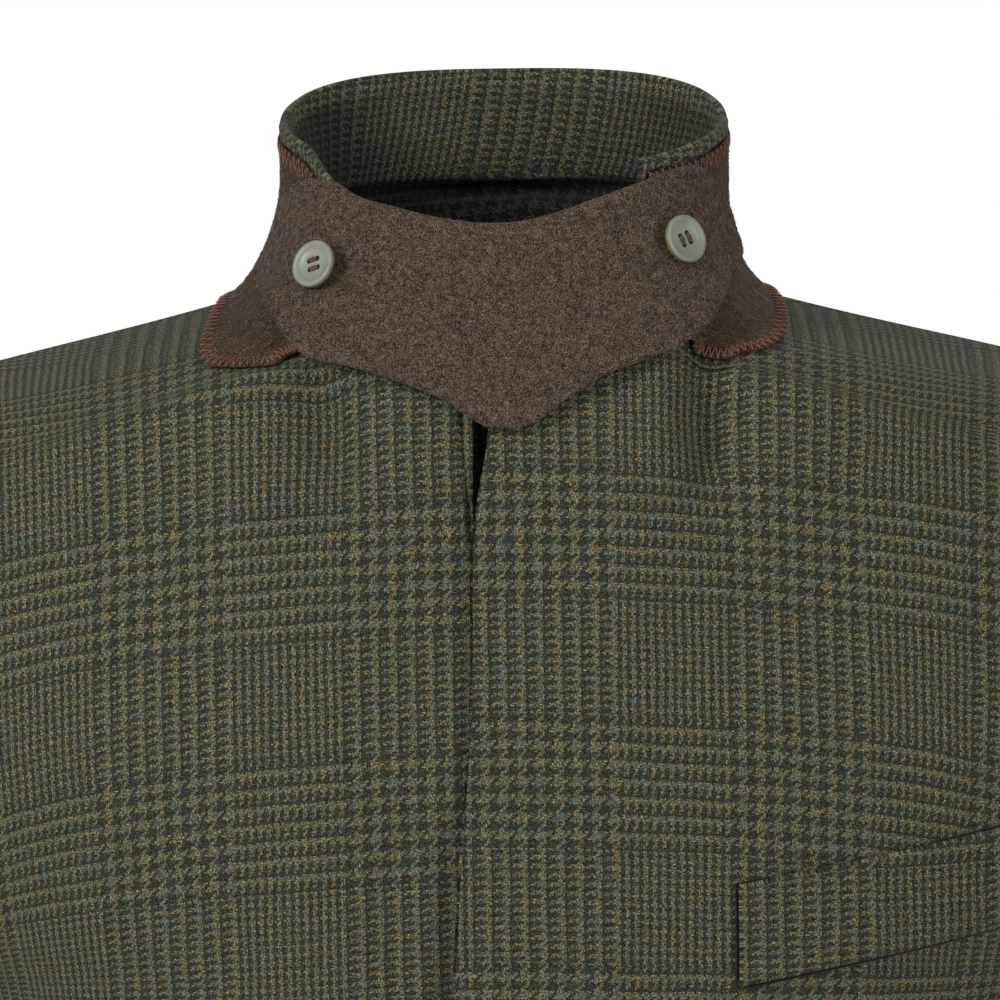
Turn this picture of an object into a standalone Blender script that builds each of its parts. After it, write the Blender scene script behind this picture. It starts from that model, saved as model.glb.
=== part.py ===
"""Tweed sport coat, collar turned up and held by a felt throat tab.

Constants and tables are in millimetres and degrees; the meshes are in metres.
+X is the wearer's left, -Y the front, +Z up. The origin lies midway between
the two points where the shoulder seams meet the neck.
"""
import math
from collections import namedtuple

import bmesh
import bpy
import numpy as np
from mathutils import Matrix, Vector
from mathutils.bvhtree import BVHTree

MM = 0.001

# Cloth
BODY_WALL = 2.2
SLEEVE_WALL = 2.0
FELT_WALL = 1.8
COLLAR_WALL = 1.8
TAB_WALL = 2.0
WELT_WALL = 2.0
SEAM_GAP = 0.3
LAYER_GAP = 0.45

# Body: columns of a panel from its front or back edge to its side
PANEL_COLUMNS = 13
CHEST_FULLNESS = 1.15
LEVEL_RISE = 1.7
SAG_SHAPE = 6.75
LAP_RECESS = 2.9
LAP_LEAN = 0.06
LAP_REACH_X = (22.0, 62.0)
LAP_START_Z = (-36.0, -64.0)

# One row for each section of a half body, from the front hem over the shoulder
# to the back hem. A section runs from the centre edge, or from the neckline at
# neck_deg, to the side seam or the armhole, turning through turn_deg.
Section = namedtuple(
    "Section", "name steps neck_deg lap_x under_x inner_y inner_z outer_x outer_y outer_z turn_deg sag"
)
SECTIONS = [
    Section("front_hem", 4, None, 66, 66, -126, -745, 196, 5, -745, 90, 0),
    Section("front_corner", 3, None, 16, 16, -129, -704, 194, 5, -704, 90, 0),
    Section("front_hip", 2, None, -15, -15, -130, -640, 190, 5, -640, 90, 0),
    Section("front_seat", 2, None, -20, -20, -127, -540, 180, 5, -540, 90, 0),
    Section("front_waist", 2, None, -20, -20, -122, -430, 170, 5, -430, 90, 0),
    Section("front_ribs", 2, None, -20, -20, -127, -330, 177, 5, -330, 90, 0),
    Section("front_underarm", 2, None, -20, -19, -133, -236, 182, 5, -236, 90, 0),
    Section("front_chest", 2, None, -17, -12, -134, -178, 180, -54, -204, 76, 0),
    Section("front_pit", 2, None, -12.5, -3, -130, -120, 181, -76, -152, 64, 0),
    Section("front_blade", 1, None, -9.5, 7.5, -120, -70, 193, -66, -104, 52, 1),
    Section("front_bone", 1, None, -5, 9, -113, -34, 200.5, -57, -87, 46, 2),
    Section("front_neck", 2, None, -3, 8.5, -100, -4, 208, -46, -71, 40, 2),
    Section("front_throat", 2, 26, None, None, None, None, 217, -29, -53, 34, 3),
    Section("front_gorge", 1, 50, None, None, None, None, 223, -14, -42, 28, 3),
    Section("front_yoke", 1, 72, None, None, None, None, 226.5, -1, -36, 22, 2),
    Section("shoulder", 2, 92, None, None, None, None, 228, 11, -32, 20, 0),
    Section("back_yoke", 2, 118, None, None, None, None, 226, 26, -38, 22, 2),
    Section("back_slope", 2, 146, None, None, None, None, 219, 50, -55, 30, 3),
    Section("back_neck", 2, None, 0, 0, 77, 4, 209, 70, -84, 42, 3),
    Section("back_blade", 2, None, 0, 0, 96, -52, 197, 82, -128, 54, 1),
    Section("back_pit", 2, None, 0, 0, 116, -124, 187, 70, -188, 70, 0),
    Section("back_underarm", 2, None, 0, 0, 126, -206, 182, 5, -236, 90, 0),
    Section("back_ribs", 2, None, 0, 0, 120, -318, 177, 5, -330, 90, 0),
    Section("back_waist", 2, None, 0, 0, 107, -430, 170, 5, -430, 90, 0),
    Section("back_seat", 2, None, 0, 0, 114, -540, 180, 5, -540, 90, 0),
    Section("back_hip", 3, None, 0, 0, 121, -640, 190, 5, -640, 90, 0),
    Section("back_corner", 4, None, 0, 0, 122, -704, 194, 5, -704, 90, 0),
    Section("back_hem", 0, None, 0, 0, 122, -745, 196, 5, -745, 90, 0),
]
PLACE = {section.name: index for index, section in enumerate(SECTIONS)}

# Soft folds of the fronts, from (x, z) to (x, z) on the side named, seen from
# the front; depth is inwards
Fold = namedtuple("Fold", "side start_x start_z end_x end_z depth width")
FRONT_FOLDS = [
    Fold(1, 64, -14, 58, -66, 6.0, 16.0),
    Fold(1, 40, -40, 28, -120, -2.0, 22.0),
    Fold(1, 112, -30, 96, -120, 2.2, 24.0),
    Fold(1, 96, -250, 62, -420, 2.5, 26.0),
    Fold(1, 128, -520, 120, -735, 4.0, 30.0),
    Fold(-1, 64, -16, 54, -72, 4.5, 16.0),
    Fold(-1, 36, -150, 34, -250, 3.0, 16.0),
    Fold(-1, 118, -30, 104, -110, 2.0, 24.0),
    Fold(-1, 104, -270, 70, -440, 2.8, 28.0),
    Fold(-1, 120, -500, 132, -735, 4.0, 32.0),
]
BACK_FOLDS = [
    Fold(1, 120, -120, 96, -330, 3.0, 30.0),
    Fold(1, 70, -470, 84, -735, 4.5, 34.0),
    Fold(1, 140, -560, 146, -735, 3.0, 22.0),
    Fold(-1, 124, -110, 90, -300, 3.4, 30.0),
    Fold(-1, 76, -500, 70, -735, 4.0, 32.0),
    Fold(-1, 138, -540, 150, -735, 3.4, 24.0),
]

# Neck: rings of the raised collar, from the skirt below the neck seam to the
# rim; height 0 is the neck seam and 1 the rim
Ring = namedtuple("Ring", "height half_width front_y back_y front_z side_z back_z squareness middle_x")
NECK_RINGS = [
    Ring(-0.30, 110, -113, 92, -40, -6, -14, 2.6, 1),
    Ring(0.00, 89, -100, 78, -4, 3, 6, 2.85, -1),
    Ring(0.30, 78, -93, 76, 9, 17, 23, 2.4, -1),
    Ring(0.50, 74, -88, 79, 17, 29, 36, 2.5, 0),
    Ring(0.75, 72, -83, 76, 31, 45, 58, 2.8, 1),
    Ring(1.00, 72.5, -79, 75, 49.5, 63.5, 79, 2.9, 1),
]
SIDE_Y = 6.0
FRONT_DROP = 0.55
RIM_DROP = 1.50
BACK_RISE = 0.85
RIM_DROP_HEIGHT = 0.75
# Where the collar's ends lie, by the angle from the centre front at the seam and at the rim
COLLAR_END_LEFT = (26.0, 28.0)
COLLAR_END_RIGHT = (28.0, 42.0)
RIM_DIP = 0.10
RIM_DIP_ANGLE = 16.0
COLLAR_COLUMNS = 30
COLLAR_HEIGHTS = [0.02, 0.10, 0.19, 0.28, 0.38, 0.48, 0.56, 0.68, 0.81]
LIP_HEIGHT = 0.945
LIP_STEP_HEIGHT = 0.002
LIP_END = 2.6
LIP_STEP_ANGLE = 0.05
FELT_TOP = 0.925
END_CLEARANCE = 0.35
# Foot of the felt on the shoulders: angle of its column from the centre front, then where it lies
FOOT_LEFT = [
    (26, 49.5, -93.5, -4.5),
    (31, 56.5, -90.0, -4.6),
    (34, 60.4, -88.5, -4.8),
    (36, 61.9, -92.5, -7.7),
    (38, 64.5, -93.8, -9.6),
    (41, 71.0, -92.0, -10.3),
    (44, 78.0, -89.0, -10.6),
    (47, 84.0, -84.5, -10.3),
    (49.5, 87.5, -79.0, -9.0),
    (52, 89.7, -72.0, -7.3),
    (56, 91.4, -58.0, -5.1),
    (61, 92.3, -40.0, -2.8),
    (68, 92.3, -22.0, -0.7),
    (78, 91.5, -2.0, 1.2),
    (90, 90.4, 14.0, 2.6),
    (105, 89.3, 34.6, 3.2),
    (120, 85.8, 52.8, 2.5),
    (140, 68.8, 69.3, 1.1),
    (160, 43.6, 76.8, -1.9),
    (180, -0.4, 78.9, -1.5),
]
FOOT_RIGHT = [
    (28, -52.0, -93.5, -4.6),
    (33, -59.5, -89.5, -4.8),
    (36, -64.0, -89.0, -5.6),
    (38, -65.5, -92.2, -7.9),
    (40, -69.5, -93.0, -9.7),
    (42, -73.5, -95.2, -12.2),
    (44.5, -80.1, -93.7, -13.6),
    (47, -88.0, -89.2, -14.0),
    (49, -93.5, -85.5, -13.9),
    (51, -96.3, -80.5, -12.3),
    (53, -96.8, -72.0, -9.0),
    (57, -96.3, -55.0, -5.4),
    (62, -95.8, -36.0, -2.8),
    (69, -95.2, -19.0, -0.9),
    (79, -94.4, 0.0, 1.2),
    (90, -93.6, 14.0, 2.4),
    (105, -90.9, 34.6, 3.3),
    (120, -86.8, 52.5, 2.9),
    (140, -69.9, 69.4, 1.2),
    (160, -44.6, 76.6, -2.0),
    (180, -0.4, 78.9, -1.5),
]
FOOT_CLEARANCE = 1.7
FOOT_PARTS = (1.0, 0.55)
# Columns added to the collar's where the felt's foot turns
FELT_TURNS_LEFT = (31.5, 34.0, 36.0, 41.2, 44.0, 46.5, 51.0, 54.0, 63.0)
FELT_TURNS_RIGHT = (33.0, 36.0, 38.3, 42.5, 44.7, 47.0, 49.0, 53.0, 56.5)

# Throat tab: its upper and lower edges by the angle from the centre front
TAB_EDGES = [
    (-78, 0.50, 0.40),
    (-75, 0.647, 0.32),
    (-69, 0.774, 0.22),
    (-62, 0.832, 0.15),
    (-56, 0.865, 0.11),
    (-50, 0.887, 0.065),
    (-44, 0.896, 0.02),
    (-38, 0.896, -0.035),
    (-31.5, 0.861, -0.09),
    (-21, 0.829, -0.11),
    (-11.5, 0.790, -0.148),
    (-5.8, 0.766, -0.185),
    (0, 0.755, -0.258),
    (5.6, 0.792, -0.19),
    (11.5, 0.832, -0.135),
    (20.5, 0.880, -0.098),
    (28, 0.906, -0.07),
    (36.5, 0.926, -0.02),
    (44, 0.928, 0.045),
    (50.5, 0.911, 0.10),
    (56.5, 0.868, 0.16),
    (62.5, 0.804, 0.22),
    (68, 0.705, 0.29),
    (73, 0.541, 0.38),
    (75, 0.47, 0.42),
]
TAB_LOW_LIFT = 2.2
TAB_WING_LIFT = 4.2
TAB_WING_ANGLE = 43.0
TAB_WING_SPREAD = 18.0
TAB_LOW_HEIGHT = 0.34
TAB_STRAIGHTNESS = 0.75
TAB_END_LIFT = 2.0
TAB_END_ANGLES = (54.0, 74.0)
TAB_CROWDING = 84.0
TAB_COLUMNS = 30
TAB_ROWS = 7

# Sleeves: rings of the arm from the upper arm to the cuff
ArmRing = namedtuple("ArmRing", "x y z half_width half_depth")
ARM_RINGS = [
    ArmRing(239, 2, -256, 52, 63),
    ArmRing(256, 5, -335, 50, 59),
    ArmRing(272, 4, -415, 48, 55),
    ArmRing(287, -8, -495, 45, 52),
    ArmRing(300, -26, -575, 42, 49),
    ArmRing(311, -46, -648, 40, 47),
]
CAP_STEPS = 6
ARM_STEPS = 12
CAP_LEAVE = 1.0
CAP_ARRIVE = 0.85
CAP_FALL_TOP = 0.28
CAP_FALL_UNDER = 0.12
SLEEVE_FRONT_SEAM = "front_pit"
SLEEVE_BACK_SEAM = "back_blade"
# Folds across a sleeve: angle from its outer side (front positive), place along
# the arm from 0 at the upper arm to 1 at the cuff, slope, depth and half width
ArmFold = namedtuple("ArmFold", "angle place slope depth width reach")
ARM_FOLDS = [
    ArmFold(120, 0.30, 0.10, 3.2, 0.040, 75),
    ArmFold(105, 0.42, -0.06, 4.2, 0.035, 85),
    ArmFold(125, 0.54, -0.14, 2.8, 0.040, 70),
    ArmFold(-110, 0.36, -0.12, 2.6, 0.045, 70),
    ArmFold(-60, 0.66, 0.16, 2.2, 0.050, 80),
]

# Rounds and longest step of the search for a place on a front
SEARCH_ROUNDS = 30
SEARCH_STEP = 0.8

# Breast pocket welt on the left front, seen from the front
WELT_CORNER = (72.0, -210.5)
WELT_LENGTH = 96.0
WELT_HEIGHT = 33.0
WELT_SLOPE = 15.5
WELT_COLUMNS = 8
WELT_ROWS = 3

# Buttons
TAB_BUTTON_RADIUS = 8.0
FRONT_BUTTON_RADIUS = 10.0
BUTTON_THICKNESS = 0.36
# Tab buttons: angle and height on the collar, stand, and the degrees they turn and tip up
TAB_BUTTON_LEFT = (35.6, 0.516, 1.5, 38.0, 16.0)
TAB_BUTTON_RIGHT = (-35.6, 0.396, 2.35, -36.0, 20.0)
FRONT_BUTTON_STAND = 0.5
FRONT_BUTTON_LEVELS = (-300.0, -405.0, -510.0)
BUTTON_SEGMENTS = 18
HOLE_SEGMENTS = 6
# Outline of a button of radius 1 and thickness 1: distance from its axis and height
BUTTON_OUTLINE = [
    (0.00, 0.00),
    (0.72, 0.00),
    (0.97, 0.34),
    (1.00, 0.62),
    (0.93, 0.95),
    (0.80, 1.00),
    (0.66, 0.66),
    (0.00, 0.60),
]
HOLE_PLACE = 0.31
HOLE_RADIUS = 0.105

TWEED = ("tweed", (0.075, 0.077, 0.048), 0.95)
FELT = ("felt", (0.078, 0.054, 0.039), 1.0)
HORN = ("button", (0.20, 0.23, 0.17), 0.38)


def unit(vectors):
    """The vectors of an array, each made one long."""
    return vectors / np.maximum(np.linalg.norm(vectors, axis=-1, keepdims=True), 1e-12)


def ease(value, start, end):
    """0 before start, 1 after end, smooth between them."""
    part = np.clip((value - start) / (end - start), 0.0, 1.0)
    return part * part * (3.0 - 2.0 * part)


def curve(knots, values, corners=()):
    """A smooth curve through values at knots; it turns sharply at the corners."""
    knots = np.asarray(knots, float)
    values = np.asarray(values, float)
    step = np.diff(knots)[:, None]
    rise = np.diff(values, axis=0) / step
    before = np.vstack([rise[:1], rise])
    after = np.vstack([rise, rise[-1:]])
    step_before = np.vstack([step[:1], step])
    step_after = np.vstack([step, step[-1:]])
    arriving = (before * step_after + after * step_before) / (step_before + step_after)
    leaving = arriving.copy()
    for index in corners:
        arriving[index] = before[index]
        leaving[index] = after[index]

    def at(places):
        places = np.atleast_1d(np.asarray(places, float))
        index = np.clip(np.searchsorted(knots, places, side="right") - 1, 0, len(knots) - 2)
        width = (knots[index + 1] - knots[index])[:, None]
        part = (places - knots[index])[:, None] / width
        square = part * part
        cube = square * part
        return (
            (2 * cube - 3 * square + 1) * values[index]
            + (cube - 2 * square + part) * width * leaving[index]
            + (3 * square - 2 * cube) * values[index + 1]
            + (cube - square) * width * arriving[index + 1]
        )

    return at


NECK_CURVE = curve([ring.height for ring in NECK_RINGS], [ring[1:] for ring in NECK_RINGS])
TAB_CURVE = curve([row[0] for row in TAB_EDGES], [row[1:] for row in TAB_EDGES])


def neck_point(angle, height):
    """Points of the raised collar's form; angle 0 is the centre front, 90 the wearer's left."""
    angle, height = np.broadcast_arrays(np.asarray(angle, float), np.asarray(height, float))
    ring = NECK_CURVE(height.ravel()).reshape(height.shape + (8,))
    half_width, front_y, back_y, front_z, side_z, back_z, squareness, middle_x = np.moveaxis(ring, -1, 0)
    sine = np.sin(np.radians(angle))
    cosine = np.cos(np.radians(angle))
    power = 2.0 / squareness
    fore = np.maximum(cosine, 0.0)
    aft = np.maximum(-cosine, 0.0)
    x = middle_x + half_width * np.sign(sine) * np.abs(sine) ** power
    y = SIDE_Y + (front_y - SIDE_Y) * fore ** power + (back_y - SIDE_Y) * aft ** power
    upper = ease(height, RIM_DROP_HEIGHT, 1.0)
    drop = FRONT_DROP + (RIM_DROP - FRONT_DROP) * upper
    rise = power + (BACK_RISE - power) * upper
    z = side_z + (front_z - side_z) * fore ** drop + (back_z - side_z) * aft ** rise
    return np.stack([x, y, z], axis=-1)


def neck_grid(angle, height, lift):
    """Points of the collar's form moved out by lift along its normal."""
    angle, height, lift = np.broadcast_arrays(angle, height, lift)
    around = neck_point(angle + 1.0, height) - neck_point(angle - 1.0, height)
    upward = neck_point(angle, height + 0.02) - neck_point(angle, height - 0.02)
    return neck_point(angle, height) + unit(np.cross(around, upward)) * lift[..., None]


def half_body(side):
    """The loft of one half of the body: a function of (across, along) that gives points."""
    inner = []
    for section in SECTIONS:
        if section.neck_deg is None:
            edge_x = section.lap_x if side > 0 else section.under_x
            inner.append((edge_x, section.inner_y, section.inner_z))
        else:
            x, y, z = neck_point(side * section.neck_deg, 0.0)
            inner.append((side * x, y, z))
    outer = [(s.outer_x, s.outer_y, s.outer_z) for s in SECTIONS]
    bend = [(s.turn_deg, s.sag, LEVEL_RISE if s.neck_deg is None else 1.0) for s in SECTIONS]
    index = np.arange(len(SECTIONS))
    inner_at = curve(index, inner, (PLACE["front_neck"], PLACE["back_neck"]))
    outer_at = curve(index, outer, (PLACE["front_underarm"], PLACE["back_underarm"]))
    bend_at = curve(index, bend, (PLACE["front_underarm"], PLACE["back_underarm"]))

    def at(across, along):
        across, along = np.broadcast_arrays(np.asarray(across, float), np.asarray(along, float))
        flat = along.ravel()
        start = inner_at(flat).reshape(along.shape + (3,))
        end = outer_at(flat).reshape(along.shape + (3,))
        turn, sag, rise = np.moveaxis(bend_at(flat).reshape(along.shape + (3,)), -1, 0)
        turn = np.radians(turn)
        sideways = np.sin(across * turn) / np.sin(turn)
        backwards = np.abs((1 - np.cos(across * turn)) / (1 - np.cos(turn))) ** CHEST_FULLNESS
        points = np.empty(along.shape + (3,))
        points[..., 0] = start[..., 0] + (end[..., 0] - start[..., 0]) * sideways
        points[..., 1] = start[..., 1] + (end[..., 1] - start[..., 1]) * backwards
        points[..., 2] = start[..., 2] + (end[..., 2] - start[..., 2]) * np.abs(across) ** rise
        points[..., 2] -= SAG_SHAPE * sag * across ** 2 * (1 - across)
        points[..., 0] *= side
        return points

    return at


BODY = {1: half_body(1), -1: half_body(-1)}


def fold_depth(points, folds, side):
    """How far the folds of one side press the points in."""
    total = np.zeros(points.shape[:-1])
    flat = np.stack([points[..., 0] * side, points[..., 2]], axis=-1)
    for fold in folds:
        if fold.side != side:
            continue
        start = np.array([fold.start_x, fold.start_z])
        along = np.array([fold.end_x, fold.end_z]) - start
        part = np.clip(((flat - start) @ along) / (along @ along), 0.0, 1.0)
        away = np.linalg.norm(flat - start - part[..., None] * along, axis=-1)
        taper = ease(part, -0.02, 0.25) * (1.0 - 0.75 * ease(part, 0.55, 1.0))
        total += fold.depth * taper * np.exp(-(away / fold.width) ** 2)
    return total


def body_grid(side, across, along, lift):
    """Points of one half of the body, with its folds, moved out by lift along the normal."""
    loft = BODY[side]
    across, along = np.meshgrid(across, along)
    points = loft(across, along)
    sideways = loft(across + 0.01, along) - loft(across - 0.01, along)
    onward = loft(across, along + 0.02) - loft(across, along - 0.02)
    normal = unit(np.cross(sideways, onward)) * side
    front = along <= PLACE["shoulder"]
    press = np.where(
        front, fold_depth(points, FRONT_FOLDS, side), fold_depth(points, BACK_FOLDS, side)
    )
    if side < 0:
        x, z = points[..., 0], points[..., 2]
        under = LAP_RECESS + LAP_LEAN * np.maximum(x + LAP_REACH_X[0], 0.0)
        under *= (1.0 - ease(-x, *LAP_REACH_X)) * ease(-z, -LAP_START_Z[0], -LAP_START_Z[1])
        press = press + np.where(front, under, 0.0)
    return points + normal * (lift - press)[..., None]


def spread(start, end):
    """Places along the body loft from one section to another, as each section's steps divide it."""
    places = []
    for index in range(PLACE[start], PLACE[end]):
        steps = SECTIONS[index].steps
        places += [index + part / steps for part in range(steps)]
    return np.array(places + [PLACE[end]], float)


def cut_back(grid, distance=SEAM_GAP / 2):
    """The grid with its four edges drawn in by a distance."""
    grid = grid.copy()
    for axis in (0, 1):
        line = np.moveaxis(grid, axis, 0)
        line[0] += unit(line[1] - line[0]) * distance
        line[-1] += unit(line[-2] - line[-1]) * distance
    return grid


def material(recipe):
    """One Principled material of a colour and roughness."""
    name, colour, roughness = recipe
    found = bpy.data.materials.get(name)
    if found:
        return found
    made = bpy.data.materials.new(name)
    made.use_nodes = True
    shader = made.node_tree.nodes["Principled BSDF"]
    shader.inputs["Base Color"].default_value = (*colour, 1.0)
    shader.inputs["Roughness"].default_value = roughness
    shader.inputs["Metallic"].default_value = 0.0
    return made


def add_object(name, bm, recipe):
    """A named object of the mesh, with faces turned outwards."""
    bmesh.ops.recalc_face_normals(bm, faces=bm.faces)
    mesh = bpy.data.meshes.new(name)
    bm.to_mesh(mesh)
    bm.free()
    mesh.materials.append(material(recipe))
    made = bpy.data.objects.new(name, mesh)
    bpy.context.collection.objects.link(made)
    return made


def add_wall(name, outer, inner, recipe):
    """A closed wall between two grids of points."""
    rows, columns = outer.shape[:2]
    bm = bmesh.new()
    near = [[bm.verts.new(point * MM) for point in row] for row in outer]
    far = [[bm.verts.new(point * MM) for point in row] for row in inner]
    for i in range(rows - 1):
        for j in range(columns - 1):
            bm.faces.new((near[i][j], near[i][j + 1], near[i + 1][j + 1], near[i + 1][j]))
            bm.faces.new((far[i][j], far[i + 1][j], far[i + 1][j + 1], far[i][j + 1]))
    border = [(0, j) for j in range(columns - 1)]
    border += [(i, columns - 1) for i in range(rows - 1)]
    border += [(rows - 1, j) for j in range(columns - 1, 0, -1)]
    border += [(i, 0) for i in range(rows - 1, 0, -1)]
    for here, there in zip(border, border[1:] + border[:1]):
        edge = (near[here[0]][here[1]], far[here[0]][here[1]])
        edge += (far[there[0]][there[1]], near[there[0]][there[1]])
        bm.faces.new(edge)
    return add_object(name, bm, recipe)


def add_panel(name, side, start, end):
    """A front or a back between two sections of the body loft."""
    across = np.linspace(0.0, 1.0, PANEL_COLUMNS + 1)
    along = spread(start, end)
    outer = cut_back(body_grid(side, across, along, 0.0))
    inner = cut_back(body_grid(side, across, along, -BODY_WALL))
    return add_wall(name, outer, inner, TWEED)


ARM_CURVE = curve(np.linspace(0, 1, len(ARM_RINGS)), ARM_RINGS)


def arm_point(angle, place):
    """Points of the arm's rings; angle 0 is the outer side and 90 the front."""
    ring = ARM_CURVE(place.ravel()).reshape(place.shape + (5,))
    onward = ARM_CURVE((place + 0.01).ravel()) - ARM_CURVE((place - 0.01).ravel())
    axis = unit(onward[:, :3].reshape(place.shape + (3,)))
    forward = np.array([0.0, -1.0, 0.0]) + axis * axis[..., 1:2]
    forward = unit(forward)
    outward = unit(np.cross(forward, axis))
    turn = np.radians(angle)
    return (
        ring[..., :3]
        + outward * (ring[..., 3] * np.cos(turn))[..., None]
        + forward * (ring[..., 4] * np.sin(turn))[..., None]
    )


def sleeve_grid(side, along, lift):
    """Points of a sleeve; its columns start at the places along the armhole."""
    armhole = BODY[1](np.ones_like(along), along)
    length = np.concatenate([[0.0], np.cumsum(np.linalg.norm(np.diff(armhole, axis=0), axis=-1))])
    top = np.interp(PLACE["shoulder"], along, length)
    before = 180.0 * (1.0 - length / top)
    after = -180.0 * (length - top) / (length[-1] - top)
    angle = np.where(length < top, before, after)
    upper = np.maximum(np.cos(np.radians(angle)), 0.0)
    fall = CAP_FALL_TOP * upper + CAP_FALL_UNDER * (1.0 - upper)
    leave = unit(np.stack([np.ones_like(fall), np.zeros_like(fall), -fall], axis=-1))
    zero = np.zeros_like(angle)
    arm_start = arm_point(angle, zero)
    arrive = unit(arm_point(angle, zero + 0.01) - arm_start)
    reach = np.linalg.norm(arm_start - armhole, axis=-1, keepdims=True)
    rows = []
    for part in np.linspace(0.0, 1.0, CAP_STEPS + 1):
        rows.append(
            (2 * part ** 3 - 3 * part ** 2 + 1) * armhole
            + (part ** 3 - 2 * part ** 2 + part) * leave * reach * CAP_LEAVE
            + (3 * part ** 2 - 2 * part ** 3) * arm_start
            + (part ** 3 - part ** 2) * arrive * reach * CAP_ARRIVE
        )
    for part in np.linspace(0.0, 1.0, ARM_STEPS + 1)[1:]:
        rows.append(arm_point(angle, zero + part))
    grid = np.array(rows)
    onward = np.gradient(grid, axis=0)
    onward[0] = leave
    normal = unit(np.cross(onward, np.gradient(grid, axis=1)))
    place = np.concatenate([np.zeros(CAP_STEPS), np.linspace(0.0, 1.0, ARM_STEPS + 1)])[:, None]
    press = np.zeros(grid.shape[:2])
    for fold in ARM_FOLDS:
        turn = (angle[None, :] - fold.angle) / fold.reach
        away = (place - fold.place - fold.slope * turn * 0.5) / fold.width
        press += fold.depth * np.exp(-away ** 2 - turn ** 2)
    grid = grid + normal * (lift - press)[..., None]
    grid[..., 0] *= side
    return grid


def add_sleeve(side, tag):
    """A top sleeve over the outer arm and an under sleeve within its two seams."""
    front = spread("front_underarm", "shoulder")
    back = spread("shoulder", "back_underarm")
    whole = np.concatenate([front, back[1:]])
    first = int(np.argmin(np.abs(whole - PLACE[SLEEVE_FRONT_SEAM])))
    second = int(np.argmin(np.abs(whole - PLACE[SLEEVE_BACK_SEAM])))
    outer = sleeve_grid(side, whole, 0.0)
    inner = sleeve_grid(side, whole, -SLEEVE_WALL)
    upper = slice(first, second + 1)
    add_wall("top_sleeve_" + tag, cut_back(outer[:, upper]), cut_back(inner[:, upper]), TWEED)
    lower = list(range(second, len(whole))) + list(range(1, first + 1))
    add_wall("under_sleeve_" + tag, cut_back(outer[:, lower]), cut_back(inner[:, lower]), TWEED)


def collar_angles(heights, share, inset):
    """Angles of the collar's columns at each height, inset degrees from its ends."""
    part = np.clip(np.asarray(heights, float), 0.0, 1.0)[:, None]
    start = COLLAR_END_LEFT[0] + (COLLAR_END_LEFT[1] - COLLAR_END_LEFT[0]) * part + inset
    end = 360.0 - COLLAR_END_RIGHT[0] - (COLLAR_END_RIGHT[1] - COLLAR_END_RIGHT[0]) * part - inset
    return start + (end - start) * share[None, :]


def dipped(angle, height):
    """Heights lowered towards the collar's right end, where the rim sinks behind the tab."""
    end = 360.0 - COLLAR_END_RIGHT[1]
    return height - RIM_DIP * ease(angle, end - RIM_DIP_ANGLE, end) * np.maximum(2.0 * height - 1.0, 0.0)


def add_top_collar():
    """The tweed inside of the collar, with the turned edge that frames the felt."""
    heights = np.array(COLLAR_HEIGHTS + [LIP_HEIGHT - LIP_STEP_HEIGHT, LIP_HEIGHT, 1.0])
    share = np.linspace(0.0, 1.0, COLLAR_COLUMNS + 1)
    middle = collar_angles(heights, share, LIP_END)
    rims = collar_angles(heights, np.array([0.0, 1.0]), 0.0)
    steps = collar_angles(heights, np.array([0.0, 1.0]), LIP_END - LIP_STEP_ANGLE)
    angle = np.hstack([rims[:, :1], steps[:, :1], middle, steps[:, 1:], rims[:, 1:]])
    height = np.broadcast_to(heights[:, None], angle.shape)
    edge = height >= LIP_HEIGHT
    edge[:, :2] = True
    edge[:, -2:] = True
    height = dipped(angle, height)
    outer = neck_grid(angle, height, np.where(edge, FELT_WALL + LAYER_GAP, 0.0))
    inner = neck_grid(angle, height, np.full(angle.shape, -COLLAR_WALL))
    add_wall("top_collar", outer, inner, TWEED)


def body_tree():
    """The outsides of the four body panels, for finding the nearest point on them."""
    corners = []
    faces = []
    across = np.linspace(0.0, 1.0, PANEL_COLUMNS + 1)
    for side in (1, -1):
        for start, end in (("front_blade", "shoulder"), ("shoulder", "back_blade")):
            grid = body_grid(side, across, spread(start, end), 0.0)
            first = len(corners)
            rows, columns = grid.shape[:2]
            corners += [Vector(point) for point in grid.reshape(-1, 3)]
            for i in range(rows - 1):
                for j in range(columns - 1):
                    here = first + i * columns + j
                    faces.append((here, here + 1, here + columns + 1, here + columns))
    return BVHTree.FromPolygons(corners, faces)


def lying_points(tree, targets, lift):
    """Targets brought down to the body and moved out by lift."""
    points = []
    for target in targets:
        target = Vector(target)
        spot, normal = tree.find_nearest(target)[:2]
        outward = Vector((target.x, target.y - SIDE_Y, abs(target.x) + 20.0))
        if normal.dot(outward) < 0.0:
            normal = -normal
        points.append(spot + normal * lift)
    return np.array(points)


def felt_share():
    """Shares of the felt's columns: the collar's, and more where its foot turns."""
    first = COLLAR_END_LEFT[0] + LIP_END
    last = 360.0 - COLLAR_END_RIGHT[0] - LIP_END
    turns = np.concatenate([FELT_TURNS_LEFT, 360.0 - np.array(FELT_TURNS_RIGHT)])
    shares = np.concatenate([np.linspace(0.0, 1.0, COLLAR_COLUMNS + 1), (turns - first) / (last - first)])
    return np.sort(shares)


def felt_foot(angles):
    """Where the felt's foot lies at the columns' angles."""
    left = np.array(FOOT_LEFT, float)
    right = np.array(FOOT_RIGHT, float)
    on_left = curve(left[:, 0], left[:, 1:])(np.minimum(angles, 180.0))
    on_right = curve(right[:, 0], right[:, 1:])(np.minimum(360.0 - angles, 180.0))
    return np.where(angles[:, None] <= 180.0, on_left, on_right)


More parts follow.
